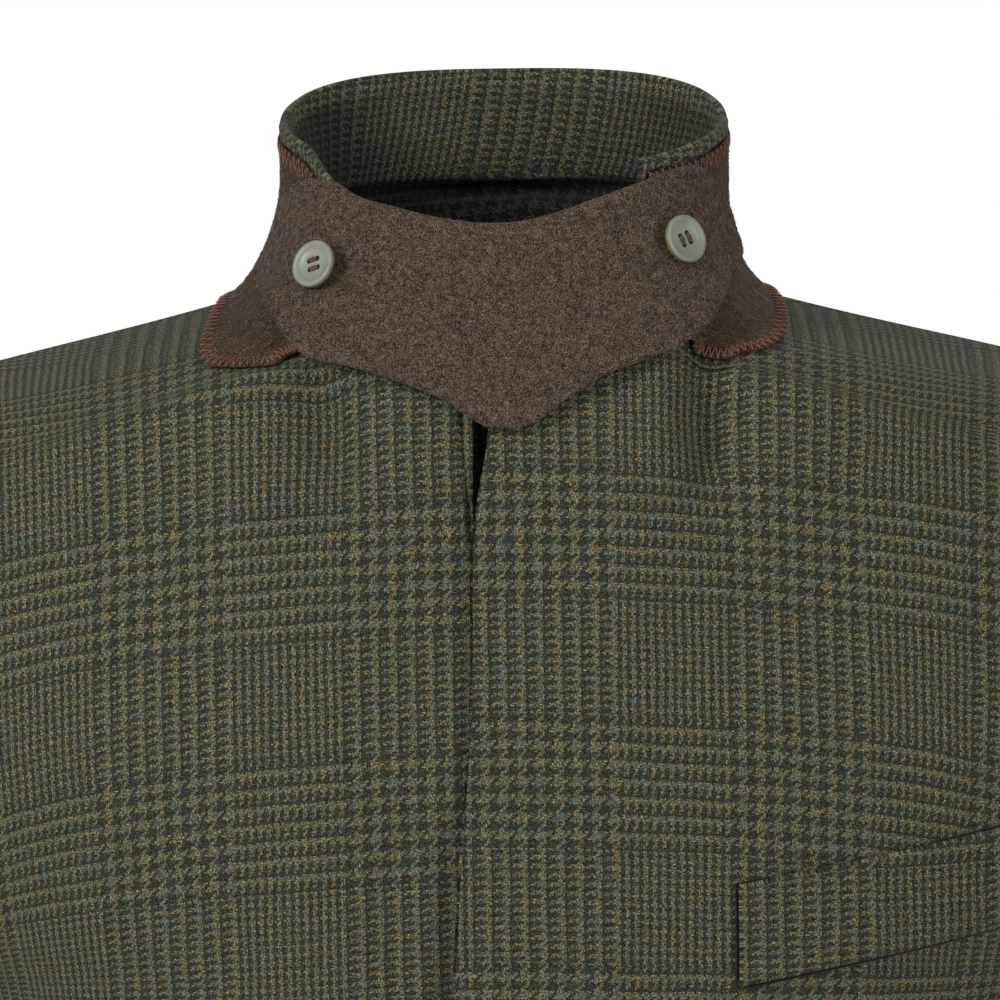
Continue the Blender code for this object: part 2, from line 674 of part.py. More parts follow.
def add_under_collar():
    """The felt outside of the collar, from the foot on the shoulders to the turned edge."""
    heights = np.array(COLLAR_HEIGHTS[1:] + [FELT_TOP])
    angle = collar_angles(heights, felt_share(), LIP_END)
    angle[:, 0] += END_CLEARANCE
    angle[:, -1] -= END_CLEARANCE
    height = dipped(angle, np.broadcast_to(heights[:, None], angle.shape))
    seam = neck_point(angle[0], 0.0)
    foot = felt_foot(angle[0])
    tree = body_tree()
    faces = []
    for lift in (LAYER_GAP + FELT_WALL, LAYER_GAP):
        lying = []
        for part in FOOT_PARTS:
            lying.append(lying_points(tree, seam + (foot - seam) * part, lift + FOOT_CLEARANCE))
        raised = neck_grid(angle, height, np.full(height.shape, lift))
        faces.append(np.concatenate([lying, raised]))
    add_wall("under_collar", faces[0], faces[1], FELT)


def tab_lying(angle, height, lift):
    """Points where the tab would lie along the felt, moved out by lift; its foot and left end stand off."""
    beside = np.exp(-((np.abs(angle) - TAB_WING_ANGLE) / TAB_WING_SPREAD) ** 2)
    low = 1.0 - ease(height, 0.0, TAB_LOW_HEIGHT)
    base = 2 * LAYER_GAP + FELT_WALL + (TAB_LOW_LIFT + TAB_WING_LIFT * beside) * low
    base = base + TAB_END_LIFT * ease(angle, *TAB_END_ANGLES)
    return neck_grid(angle, height, base + lift)


def tab_grid(angle, height, lift):
    """Points of the stiff tab, which bridges the hollow of the collar nearly straight from top to foot."""
    angle, height, lift = np.broadcast_arrays(angle, height, lift)
    edges = TAB_CURVE(angle.ravel()).reshape(angle.shape + (2,))
    top, foot = edges[..., 0], edges[..., 1]
    part = ((height - foot) / (top - foot))[..., None]
    lying = tab_lying(angle, height, lift)
    straight = tab_lying(angle, foot, lift) * (1.0 - part) + tab_lying(angle, top, lift) * part
    return lying + (straight - lying) * TAB_STRAIGHTNESS


def add_throat_tab():
    """The felt tab across the collar ends, rounded at both ends and pointed below."""
    crowded = np.sin(np.radians(np.linspace(-TAB_CROWDING, TAB_CROWDING, TAB_COLUMNS + 1)))
    angles = np.interp(crowded, crowded[[0, -1]], [TAB_EDGES[0][0], TAB_EDGES[-1][0]])
    edges = TAB_CURVE(angles)
    foot, top = edges[:, 1], edges[:, 0]
    part = np.linspace(0.0, 1.0, TAB_ROWS + 1)[:, None]
    height = foot[None, :] + (top - foot)[None, :] * part
    angle = np.broadcast_to(angles[None, :], height.shape)
    add_wall("throat_tab", tab_grid(angle, height, TAB_WALL), tab_grid(angle, height, 0.0), FELT)


def front_place(side, x, z):
    """Where on a front's loft the point that shows at (x, z) lies."""
    place = np.array([0.5, PLACE["front_chest"]], float)
    loft = BODY[side]
    for _ in range(SEARCH_ROUNDS):
        here = loft(place[0], place[1])
        error = np.array([x - here[0], z - here[2]])
        across = (loft(place[0] + 0.001, place[1]) - here) / 0.001
        along = (loft(place[0], place[1] + 0.001) - here) / 0.001
        slope = np.array([[across[0], along[0]], [across[2], along[2]]])
        place += np.clip(np.linalg.solve(slope, error), -SEARCH_STEP, SEARCH_STEP)
    return place


def front_patch(side, x, z, lift):
    """One point of a front, moved out by lift."""
    across, along = front_place(side, x, z)
    return body_grid(side, np.array([across]), np.array([along]), lift)[0, 0]


def add_welt():
    """The breast pocket's welt, made from the left front's points moved out."""
    base_x, base_z = WELT_CORNER
    outer = np.empty((WELT_ROWS + 1, WELT_COLUMNS + 1, 3))
    inner = np.empty_like(outer)
    for i in range(WELT_ROWS + 1):
        for j in range(WELT_COLUMNS + 1):
            part = j / WELT_COLUMNS
            x = base_x + WELT_LENGTH * part
            z = base_z + WELT_SLOPE * part + WELT_HEIGHT * i / WELT_ROWS
            outer[i, j] = front_patch(1, x, z, LAYER_GAP + WELT_WALL)
            inner[i, j] = front_patch(1, x, z, LAYER_GAP)
    add_wall("welt_pocket", outer, inner, TWEED)


def button_meshes(radius):
    """A turned button and the four pins that cut its holes."""
    thick = radius * BUTTON_THICKNESS
    bm = bmesh.new()
    outline = [bm.verts.new((r * radius * MM, 0.0, h * thick * MM)) for r, h in BUTTON_OUTLINE]
    edges = [bm.edges.new(pair) for pair in zip(outline, outline[1:])]
    bmesh.ops.spin(
        bm, geom=outline + edges, axis=(0, 0, 1), cent=(0, 0, 0), angle=2 * math.pi,
        steps=BUTTON_SEGMENTS, use_merge=True, use_duplicate=False,
    )
    bmesh.ops.remove_doubles(bm, verts=bm.verts, dist=1e-6)
    pins = bmesh.new()
    for turn in range(4):
        angle = math.radians(45 + 90 * turn)
        reach = HOLE_PLACE * radius * MM
        spot = Matrix.Translation((reach * math.cos(angle), reach * math.sin(angle), thick * MM / 2))
        bmesh.ops.create_cone(
            pins, cap_ends=True, segments=HOLE_SEGMENTS, radius1=HOLE_RADIUS * radius * MM,
            radius2=HOLE_RADIUS * radius * MM, depth=thick * MM * 2, matrix=spot,
        )
    return bm, pins


def add_button(name, radius, centre, facing):
    """A four-hole button on a point, facing out along a direction."""
    bm, pins = button_meshes(radius)
    facing = Vector(facing).normalized()
    side = Vector((0, 0, 1)).cross(facing).normalized()
    up = facing.cross(side)
    turn = Matrix((side, up, facing)).transposed().to_4x4()
    turn.translation = Vector(centre) * MM
    bmesh.ops.transform(bm, matrix=turn, verts=bm.verts)
    bmesh.ops.transform(pins, matrix=turn, verts=pins.verts)
    button = add_object(name, bm, HORN)
    cutter = add_object(name + "_holes", pins, HORN)
    cutter.display_type = "WIRE"
    cutter.hide_render = True
    cut = button.modifiers.new("holes", "BOOLEAN")
    cut.operation = "DIFFERENCE"
    cut.solver = "EXACT"
    cut.object = cutter
    return button


def add_tab_button(name, place):
    """A button on the throat tab at an angle and height of the collar, turned and tipped up a little."""
    angle, height, stand, turn, tip = place
    turn = math.radians(turn)
    tip = math.radians(tip)
    facing = np.array([math.sin(turn) * math.cos(tip), -math.cos(turn) * math.cos(tip), math.sin(tip)])
    spot = tab_grid(np.array(angle), np.array(height), np.array(TAB_WALL))
    return add_button(name, TAB_BUTTON_RADIUS, spot + facing * stand, facing)


def add_front_buttons():
    """The buttons that close the fronts below the lapels."""
    for number, level in enumerate(FRONT_BUTTON_LEVELS, 1):
        near = front_patch(1, 0.0, level, 0.0)
        spot = front_patch(1, 0.0, level, FRONT_BUTTON_STAND)
        add_button("front_button_%d" % number, FRONT_BUTTON_RADIUS, spot, spot - near)


for item in list(bpy.data.objects):
    bpy.data.objects.remove(item, do_unlink=True)

add_panel("front_left", 1, "front_hem", "shoulder")
add_panel("front_right", -1, "front_hem", "shoulder")
add_panel("back_left", 1, "shoulder", "back_hem")
add_panel("back_right", -1, "shoulder", "back_hem")
add_sleeve(1, "left")
add_sleeve(-1, "right")
add_top_collar()
add_under_collar()
add_throat_tab()
add_welt()
add_tab_button("tab_button_left", TAB_BUTTON_LEFT)
add_tab_button("tab_button_right", TAB_BUTTON_RIGHT)
add_front_buttons()
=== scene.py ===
"""Looks of the tweed sport coat: cloth shells on the solids' forms, felt, sewing and studio.

Tables are in millimetres and degrees, as in the part's source; meshes are in metres.
+X is the wearer's left, -Y the front, +Z up.
"""
import math
from collections import namedtuple

import bmesh
import bpy
import numpy as np
from mathutils import Matrix, Vector
from mathutils.bvhtree import BVHTree


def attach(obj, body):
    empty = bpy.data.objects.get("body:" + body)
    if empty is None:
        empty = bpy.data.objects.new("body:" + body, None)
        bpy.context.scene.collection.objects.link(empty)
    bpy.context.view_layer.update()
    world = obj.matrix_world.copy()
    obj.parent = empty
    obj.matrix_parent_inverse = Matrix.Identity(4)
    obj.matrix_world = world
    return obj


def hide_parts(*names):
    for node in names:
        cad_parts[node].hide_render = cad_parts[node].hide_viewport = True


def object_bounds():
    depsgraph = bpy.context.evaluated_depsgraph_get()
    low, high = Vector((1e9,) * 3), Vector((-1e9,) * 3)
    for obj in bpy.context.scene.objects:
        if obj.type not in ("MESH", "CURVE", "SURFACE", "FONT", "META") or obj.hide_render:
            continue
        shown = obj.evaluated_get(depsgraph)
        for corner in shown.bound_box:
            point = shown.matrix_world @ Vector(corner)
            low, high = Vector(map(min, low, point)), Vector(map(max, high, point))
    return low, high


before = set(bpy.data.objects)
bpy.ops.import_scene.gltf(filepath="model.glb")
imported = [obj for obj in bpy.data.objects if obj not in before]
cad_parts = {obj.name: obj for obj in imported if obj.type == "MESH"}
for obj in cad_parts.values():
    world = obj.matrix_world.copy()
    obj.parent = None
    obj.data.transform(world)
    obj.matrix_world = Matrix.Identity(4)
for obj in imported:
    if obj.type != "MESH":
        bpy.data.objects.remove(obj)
CAD_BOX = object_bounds()

MM = 0.001
SEED = 7
RANDOM = np.random.default_rng(SEED)

# Cloth
BODY_WALL = 2.2
SLEEVE_WALL = 2.0
FELT_WALL = 1.8
COLLAR_WALL = 1.8
TAB_WALL = 2.0
WELT_WALL = 2.0
LAYER_GAP = 0.45
EDGE_ROUND = 0.9
SEAM_INSET = 0.04
PANEL_STEP = 5.0
PANEL_COLUMNS = 72
EDGE_CROWDING = 1.9
# The line of stitching beside the right front's edge, and the levels where it closes in, starts and ends
EDGE_LINE_PLACE = 3.6
EDGE_LINE_WIDTH = 0.9
EDGE_LINE_DEPTH = 2.6
EDGE_LINE_CLOSING = 0.55
EDGE_LINE_CLOSES = (33.0, 60.0)
EDGE_LINE_STARTS = (22.0, 28.0)
EDGE_LINE_ENDS = (58.0, 74.0)

# Body, as in the part's source
CHEST_FULLNESS = 1.15
LEVEL_RISE = 1.7
SAG_SHAPE = 6.75
LAP_RECESS = 2.9
LAP_LEAN = 0.06
LAP_REACH_X = (22.0, 62.0)
LAP_START_Z = (-36.0, -64.0)
Section = namedtuple(
    "Section", "name neck_deg lap_x under_x inner_y inner_z outer_x outer_y outer_z turn_deg sag"
)
SECTIONS = [
    Section("front_hem", None, 66, 66, -126, -745, 196, 5, -745, 90, 0),
    Section("front_corner", None, 16, 16, -129, -704, 194, 5, -704, 90, 0),
    Section("front_hip", None, -15, -15, -130, -640, 190, 5, -640, 90, 0),
    Section("front_seat", None, -20, -20, -127, -540, 180, 5, -540, 90, 0),
    Section("front_waist", None, -20, -20, -122, -430, 170, 5, -430, 90, 0),
    Section("front_ribs", None, -20, -20, -127, -330, 177, 5, -330, 90, 0),
    Section("front_underarm", None, -20, -19, -133, -236, 182, 5, -236, 90, 0),
    Section("front_chest", None, -17, -12, -134, -178, 180, -54, -204, 76, 0),
    Section("front_pit", None, -12.5, -3, -130, -120, 181, -76, -152, 64, 0),
    Section("front_blade", None, -11.2, 9.0, -120, -70, 193, -66, -104, 52, 1),
    Section("front_bone", None, -5.6, 10.0, -113, -34, 200.5, -57, -87, 46, 2),
    Section("front_neck", None, -3, 8.5, -100, -4, 208, -46, -71, 40, 2),
    Section("front_throat", 26, None, None, None, None, 217, -29, -53, 34, 3),
    Section("front_gorge", 50, None, None, None, None, 223, -14, -42, 28, 3),
    Section("front_yoke", 72, None, None, None, None, 226.5, -1, -36, 22, 2),
    Section("shoulder", 92, None, None, None, None, 228, 11, -32, 20, -1.5),
    Section("back_yoke", 118, None, None, None, None, 226, 26, -38, 22, 2),
    Section("back_slope", 146, None, None, None, None, 219, 50, -55, 30, 3),
    Section("back_neck", None, 0, 0, 77, 4, 209, 70, -84, 42, 3),
    Section("back_blade", None, 0, 0, 96, -52, 197, 82, -128, 54, 1),
    Section("back_pit", None, 0, 0, 116, -124, 187, 70, -188, 70, 0),
    Section("back_underarm", None, 0, 0, 126, -206, 182, 5, -236, 90, 0),
    Section("back_ribs", None, 0, 0, 120, -318, 177, 5, -330, 90, 0),
    Section("back_waist", None, 0, 0, 107, -430, 170, 5, -430, 90, 0),
    Section("back_seat", None, 0, 0, 114, -540, 180, 5, -540, 90, 0),
    Section("back_hip", None, 0, 0, 121, -640, 190, 5, -640, 90, 0),
    Section("back_corner", None, 0, 0, 122, -704, 194, 5, -704, 90, 0),
    Section("back_hem", None, 0, 0, 122, -745, 196, 5, -745, 90, 0),
]
PLACE = {section.name: index for index, section in enumerate(SECTIONS)}

# How a fold grows from its start and fades to its end, in shares of its length
FOLD_GROWS = (-0.02, 0.25)
FOLD_FADES = (0.55, 1.0)
FOLD_FADE = 0.75
# Folds and creases from (x, z) to (x, z), seen from the front or the back; depth is inwards
Fold = namedtuple("Fold", "side start_x start_z end_x end_z depth width")
FRONT_FOLDS = [
    Fold(1, 64, -14, 58, -66, 6.0, 16.0),
    Fold(1, 40, -40, 28, -120, -2.0, 22.0),
    Fold(1, 112, -30, 96, -120, 2.2, 24.0),
    Fold(1, 96, -250, 62, -420, 2.5, 26.0),
    Fold(1, 128, -520, 120, -735, 4.0, 30.0),
    Fold(-1, 64, -16, 54, -72, 4.5, 16.0),
    Fold(-1, 36, -150, 34, -250, 3.0, 16.0),
    Fold(-1, 118, -30, 104, -110, 2.0, 24.0),
    Fold(-1, 104, -270, 70, -440, 2.8, 28.0),
    Fold(-1, 120, -500, 132, -735, 4.0, 32.0),
]
FRONT_CREASES = [
    Fold(1, 64, 0, 70, -62, 8.6, 8.5),
    Fold(1, 50, -8, 54, -60, -3.8, 9.0),
    Fold(1, 140, -52, 96, -60, 0.9, 9.0),
    Fold(1, 30, -190, 90, -236, 0.8, 12.0),
    Fold(1, 150, -300, 96, -345, 1.5, 10.0),
    Fold(1, 160, -352, 110, -382, 1.1, 8.0),
    Fold(1, 40, -390, 104, -452, 1.2, 11.0),
    Fold(1, 70, -560, 58, -720, 1.6, 14.0),
    Fold(-1, 64, -4, 52, -56, 6.6, 9.0),
    Fold(-1, 42, -14, 32, -44, -2.6, 11.0),
    Fold(-1, 19.5, -150, 21, -250, 1.6, 5.5),
    Fold(-1, 27, -156, 29, -250, -0.9, 6.0),
    Fold(-1, 148, -70, 90, -86, 0.8, 9.0),
    Fold(-1, 156, -292, 90, -330, 1.7, 11.0),
    Fold(-1, 150, -362, 104, -380, 1.0, 8.0),
    Fold(-1, 50, -402, 112, -440, 1.3, 10.0),
    Fold(-1, 84, -540, 92, -725, 1.8, 15.0),
]
BACK_FOLDS = [
    Fold(1, 120, -120, 96, -330, 3.0, 30.0),
    Fold(1, 70, -470, 84, -735, 4.5, 34.0),
    Fold(1, 140, -560, 146, -735, 3.0, 22.0),
    Fold(-1, 124, -110, 90, -300, 3.4, 30.0),
    Fold(-1, 76, -500, 70, -735, 4.0, 32.0),
    Fold(-1, 138, -540, 150, -735, 3.4, 24.0),
]
BACK_CREASES = [
    Fold(1, 40, -34, 110, -70, 1.2, 10.0),
    Fold(1, 150, -300, 70, -352, 1.8, 11.0),
    Fold(1, 158, -356, 96, -392, 1.3, 9.0),
    Fold(1, 30, -420, 90, -448, 1.1, 10.0),
    Fold(-1, 36, -30, 120, -62, 1.0, 11.0),
    Fold(-1, 154, -286, 84, -330, 1.6, 10.0),
    Fold(-1, 150, -372, 60, -402, 1.4, 10.0),
    Fold(-1, 40, -448, 104, -470, 0.9, 9.0),
]

# Collar, as in the part's source
Ring = namedtuple("Ring", "height half_width front_y back_y front_z side_z back_z squareness middle_x")
NECK_RINGS = [
    Ring(-0.30, 110, -113, 92, -40, -6, -14, 2.6, 1),
    Ring(0.00, 89, -100, 78, -4, 3, 6, 2.85, -1),
    Ring(0.30, 78, -93, 76, 9, 17, 23, 2.4, -1),
    Ring(0.50, 74, -88, 79, 17, 29, 36, 2.5, 0),
    Ring(0.75, 72, -83, 76, 31, 45, 58, 2.8, 1),
    Ring(1.00, 72.5, -79, 75, 49.5, 63.5, 79, 2.9, 1),
]
SIDE_Y = 6.0
FRONT_DROP = 0.55
RIM_DROP = 1.50
BACK_RISE = 0.85
RIM_DROP_HEIGHT = 0.75
COLLAR_END_LEFT = (26.0, 28.0)
COLLAR_END_RIGHT = (28.0, 42.0)
RIM_DIP = 0.10
RIM_DIP_ANGLE = 16.0
COLLAR_FOOT = 0.02
LIP_HEIGHT = 0.945
LIP_END = 2.6
LIP_STAND = 1.9
LIP_STEP = 0.15
LIP_THINNING = 0.8
LIP_THINS = (0.86, 0.99)
FELT_LOW = 0.10
FELT_SECOND = 0.13
FELT_TOP = 0.930
FELT_ROWS = 40
END_CLEARANCE = 0.35
# Foot of the felt on the shoulders: angle of its column, then where it lies
FOOT_LEFT = [
    (26, 49.5, -93.5, -4.5),
    (31, 56.5, -90.0, -4.6),
    (34, 60.4, -88.5, -4.8),
    (36, 61.9, -92.5, -7.7),
    (38, 64.5, -93.8, -9.6),
    (41, 71.0, -92.0, -10.3),
    (44, 78.0, -89.0, -10.6),
    (47, 84.0, -84.5, -10.3),
    (49.5, 87.5, -79.0, -9.0),
    (52, 89.7, -72.0, -7.3),
    (56, 91.4, -58.0, -5.1),
    (61, 92.3, -40.0, -2.8),
    (68, 92.3, -22.0, -0.7),
    (78, 91.5, -2.0, 1.2),
    (90, 90.4, 14.0, 2.6),
    (105, 89.3, 34.6, 3.2),
    (120, 85.8, 52.8, 2.5),
    (140, 68.8, 69.3, 1.1),
    (160, 43.6, 76.8, -1.9),
    (180, -0.4, 78.9, -1.5),
]
FOOT_RIGHT = [
    (28, -52.0, -93.5, -4.6),
    (33, -59.5, -89.5, -4.8),
    (36, -64.0, -89.0, -5.6),
    (38, -65.5, -92.2, -7.9),
    (40, -69.5, -93.0, -9.7),
    (42, -73.5, -95.2, -12.2),
    (44.5, -80.1, -93.7, -13.6),
    (47, -88.0, -89.2, -14.0),
    (49, -93.5, -85.5, -13.9),
    (51, -96.3, -80.5, -12.3),
    (53, -96.8, -72.0, -9.0),
    (57, -96.3, -55.0, -5.4),
    (62, -95.8, -36.0, -2.8),
    (69, -95.2, -19.0, -0.9),
    (79, -94.4, 0.0, 1.2),
    (90, -93.6, 14.0, 2.4),
    (105, -90.9, 34.6, 3.3),
    (120, -86.8, 52.5, 2.9),
    (140, -69.9, 69.4, 1.2),
    (160, -44.6, 76.6, -2.0),
    (180, -0.4, 78.9, -1.5),
]
FOOT_PARTS = (1.0, 0.9, 0.72, 0.5, 0.3, 0.12)
FOOT_CLEARANCE = 0.1
TREE_COLUMNS = 40
TREE_STEP = 6.0
# Columns of the felt: from each angle, so many to the next
FELT_STEPS = [(28.6, 8), (35, 48), (58, 14), (72, 36), (180, 36), (288, 14), (302, 48), (325, 8), (329.4, 1)]
COLLAR_COLUMNS = 150
# Rows of the top collar: from one height to another, so many, closest at the groove
COLLAR_ROWS = [
    (COLLAR_FOOT, 0.42, 16),
    (0.43, 0.68, 34),
    (0.70, LIP_HEIGHT - 0.004, 14),
    (LIP_HEIGHT, 1.0, 5),
]
# Inside of the collar: its leaf rolls over above the groove and its stand swells below it
GROOVE_HEIGHT = 0.52
ROLL_DEPTH = 7.5
ROLL_HEIGHT = 0.595
ROLL_END = 0.98
ROLL_STARTS = (40.0, 100.0)
ROLL_STOPS = (260.0, 320.0)
STAND_DEPTH = 4.5
STAND_START = 0.10
STAND_HEIGHT = 0.44
# Painted shade: the cloth's colour is darkened deep in the collar, more on its left and right sides and most
# below the groove, fading out towards the rim
PAINTED_SHADE_TOP = 0.27
PAINTED_SHADE_LEFT = 0.24
PAINTED_SHADE_LEFT_ENDS = (120.0, 165.0)
PAINTED_SHADE_RIGHT = 0.38
PAINTED_SHADE_RIGHT_STARTS = (195.0, 240.0)
PAINTED_SHADE_FOOT = 0.74
PAINTED_SHADE_FADES = 0.90

# Throat tab, as in the part's source
TAB_EDGES = [
    (-78, 0.50, 0.40),
    (-75, 0.647, 0.32),
    (-69, 0.774, 0.22),
    (-62, 0.832, 0.15),
    (-56, 0.865, 0.11),
    (-50, 0.887, 0.065),
    (-44, 0.896, 0.02),
    (-38, 0.896, -0.035),
    (-31.5, 0.861, -0.09),
    (-21, 0.829, -0.11),
    (-11.5, 0.790, -0.148),
    (-5.8, 0.766, -0.185),
    (0, 0.755, -0.258),
    (5.6, 0.792, -0.19),
    (11.5, 0.832, -0.135),
    (20.5, 0.880, -0.098),
    (28, 0.906, -0.07),
    (36.5, 0.926, -0.02),
    (44, 0.928, 0.045),
    (50.5, 0.911, 0.10),
    (56.5, 0.868, 0.16),
    (62.5, 0.804, 0.22),
    (68, 0.705, 0.29),
    (73, 0.541, 0.38),
    (75, 0.47, 0.42),
]
TAB_CROWDING = 84.0
TAB_LOW_LIFT = 2.2
TAB_WING_LIFT = 4.2
TAB_WING_ANGLE = 43.0
TAB_WING_SPREAD = 18.0
TAB_LOW_HEIGHT = 0.34
TAB_STRAIGHTNESS = 0.75
TAB_END_LIFT = 2.0
TAB_END_ANGLES = (54.0, 74.0)
TAB_COLUMNS = 120
TAB_ROWS = 34

# Sleeves, as in the part's source
ArmRing = namedtuple("ArmRing", "x y z half_width half_depth")
ARM_RINGS = [
    ArmRing(239, 2, -256, 52, 63),
    ArmRing(256, 5, -335, 50, 59),
    ArmRing(272, 4, -415, 48, 55),
    ArmRing(287, -8, -495, 45, 52),
    ArmRing(300, -26, -575, 42, 49),
    ArmRing(311, -46, -648, 40, 47),
]
CAP_STEPS = 26
ARM_STEPS = 84
CAP_LEAVE = 1.0
CAP_ARRIVE = 0.85
CAP_FALL_TOP = 0.28
CAP_FALL_UNDER = 0.12
SLEEVE_FRONT_SEAM = "front_pit"
SLEEVE_BACK_SEAM = "back_blade"
SLEEVE_STEP = 6.0
ArmFold = namedtuple("ArmFold", "angle place slope depth width reach")
ARM_FOLDS = [
    ArmFold(120, 0.30, 0.10, 3.2, 0.040, 75),
    ArmFold(105, 0.42, -0.06, 4.2, 0.035, 85),
    ArmFold(125, 0.54, -0.14, 2.8, 0.040, 70),
    ArmFold(-110, 0.36, -0.12, 2.6, 0.045, 70),
    ArmFold(-60, 0.66, 0.16, 2.2, 0.050, 80),
]
ARM_CREASES = [
    ArmFold(95, 0.36, 0.08, 1.3, 0.014, 50),
    ArmFold(130, 0.48, -0.10, 1.6, 0.016, 60),
    ArmFold(80, 0.50, 0.12, 1.0, 0.013, 45),
    ArmFold(-140, 0.44, -0.08, 1.4, 0.018, 55),
    ArmFold(-80, 0.52, 0.10, 1.0, 0.016, 50),
    ArmFold(20, 0.12, 0.30, 1.2, 0.030, 60),
    ArmFold(60, 0.86, -0.10, 0.9, 0.018, 60),
]

# Breast pocket welt on the left front
WELT_CORNER = (72.0, -210.5)
WELT_LENGTH = 96.0
WELT_HEIGHT = 33.0
WELT_SLOPE = 15.5
WELT_STAND = 0.7
# Painted shadow: a near-black cord where the welt meets the front stands for the shadow there; how far out
# and how thick along the foot, up the inner end and along the top
SHADOW_LINE_LEVEL = -0.25
SHADOW_LINE_FOOT = (1.0, 0.44)
SHADOW_LINE_END = (0.40, 0.34)
SHADOW_LINE_TOP = (0.20, 0.26)
SHADOW_TOP_SHOWN = ((0.0, 0.10), (0.66, 1.0))
WELT_COLUMNS = 40
WELT_ROWS = 14
SEARCH_ROUNDS = 30
SEARCH_STEP = 0.8

# Buttons
TAB_BUTTON_RADIUS = 8.0
FRONT_BUTTON_RADIUS = 10.0
BUTTON_THICKNESS = 0.36
TAB_BUTTON_LEFT = (35.6, 0.516, 1.5, 38.0, 16.0)
TAB_BUTTON_RIGHT = (-35.6, 0.396, 2.35, -36.0, 20.0)
FRONT_BUTTON_LEVELS = (-300.0, -405.0, -510.0)
FRONT_BUTTON_STAND = 0.5
BUTTON_SEGMENTS = 56
BUTTON_OUTLINE = [
    (0.00, 0.02),
    (0.60, 0.00),
    (0.78, 0.04),
    (0.92, 0.20),
    (0.985, 0.42),
    (1.00, 0.60),
    (0.99, 0.78),
    (0.95, 0.92),
    (0.89, 0.99),
    (0.83, 1.00),
    (0.77, 0.95),
    (0.71, 0.82),
    (0.64, 0.72),
    (0.50, 0.66),
    (0.25, 0.63),
    (0.00, 0.62),
]
HOLE_PLACE = 0.27
HOLE_RADIUS = 0.115
HOLE_SEGMENTS = 18
HOLE_SPIN = 18.0
BUTTON_SHARP = 50.0
# Which holes the thread joins: level, upright or crossed
LEVEL_STITCHES = ((0, 1), (3, 2))
UPRIGHT_STITCHES = ((1, 2), (0, 3))
CROSSED_STITCHES = ((0, 2), (1, 3))

# Sewing: the zigzag round the felt, the buttons' thread and the buttonholes
ZIGZAG_WIDTH = 4.0
ZIGZAG_OUT = 0.5
ZIGZAG_PITCH = 1.15
ZIGZAG_RADIUS = 0.21
ZIGZAG_SCATTER = 0.18
ZIGZAG_CLEAR = 0.05
ZIGZAG_ARCH = 0.34
ZIGZAG_PARTS = (0.0, 0.2, 0.5, 0.8)
# Stitches lie further apart where the edge runs away from the front
ZIGZAG_WEIGHTS = (1.0, 0.30, 1.0)
# The seam ends in a close tack at the right foot's inner corner
TACK_PLACE = FOOT_RIGHT[3][1:]
TACK_REACH = 4.0
TACK_CROWDING = 3.0
THREAD_RADIUS = 0.42
THREAD_LEVEL = 0.35
THREAD_DIVE = 1.6
THREAD_DIVE_SHARE = 0.14
THREAD_STEPS = 10
HOLE_STITCH_RADIUS = 0.29
BUTTONHOLE_LENGTH = 16.5
BUTTONHOLE_SHIFT = 1.6
BUTTONHOLE_BEHIND = 0.35
BUTTONHOLE_STITCHES = 30
STITCH_REACH = 1.5
STITCH_SCATTER = 0.08
STITCH_ARCH = 0.30
SLIT_HALF = 0.12
# The stitches fan out round the slit's end
FAN_START = 0.86
FAN_LENGTH = 0.14
FAN_TILT = 1.3

# Felt fibres: number on a piece, lengths and half thickness
TAB_FIBRES = 10500
COLLAR_FIBRES = 10500
FIBRE_LENGTH = (0.9, 3.6)
FIBRE_RADIUS = (0.035, 0.065)
FIBRE_SEGMENTS = 4
FIBRE_BEND = 1.3
FIBRE_RISE = (0.02, 0.45)
FIBRE_RISE_POWER = 1.5
FIBRE_TONE = (2.2, 1.3)
FIBRE_CLEAR = 0.04

# Weave: thread spacings, threads in the two zones of the check, and where each piece's check starts
WARP_PITCH = 0.735
WEFT_PITCH = 0.71
WARP_REPEAT = (64, 48)
WEFT_REPEAT = (60, 52)
CHECK_START = {
    "front_left": (-12.1, -84.4),
    "front_right": (-52.8, -95.1),
    "back": (-21.0, -90.0),
    "top_collar": (-20.0, 6.0),
    "sleeve": (-21.0, 0.0),
    "welt_pocket": (-13.7, -94.5),
}


def unit(vectors):
    """The vectors of an array, each made one long."""
    return vectors / np.maximum(np.linalg.norm(vectors, axis=-1, keepdims=True), 1e-12)


def ease(value, start, end):
    """0 before start, 1 after end, smooth between them."""
    part = np.clip((value - start) / (end - start), 0.0, 1.0)
    return part * part * (3.0 - 2.0 * part)


def hump(value, start, top, end):
    """0 outside start and end, 1 at the top, smooth between them."""
    return ease(value, start, top) * (1.0 - ease(value, top, end))


def curve(knots, values, corners=()):
    """A smooth curve through values at knots; it turns sharply at the corners."""
    knots = np.asarray(knots, float)
    values = np.asarray(values, float)
    step = np.diff(knots)[:, None]
    rise = np.diff(values, axis=0) / step
    before = np.vstack([rise[:1], rise])
    after = np.vstack([rise, rise[-1:]])
    step_before = np.vstack([step[:1], step])
    step_after = np.vstack([step, step[-1:]])
    arriving = (before * step_after + after * step_before) / (step_before + step_after)
    leaving = arriving.copy()
    for index in corners:
        arriving[index] = before[index]
        leaving[index] = after[index]

    def at(places):
        places = np.atleast_1d(np.asarray(places, float))
        index = np.clip(np.searchsorted(knots, places, side="right") - 1, 0, len(knots) - 2)
        width = (knots[index + 1] - knots[index])[:, None]
        part = (places - knots[index])[:, None] / width
        square = part * part
        cube = square * part
        return (
            (2 * cube - 3 * square + 1) * values[index]
            + (cube - 2 * square + part) * width * leaving[index]
            + (3 * square - 2 * cube) * values[index + 1]
            + (cube - square) * width * arriving[index + 1]
        )

    return at


NECK_CURVE = curve([ring.height for ring in NECK_RINGS], [ring[1:] for ring in NECK_RINGS])
TAB_CURVE = curve([row[0] for row in TAB_EDGES], [row[1:] for row in TAB_EDGES])


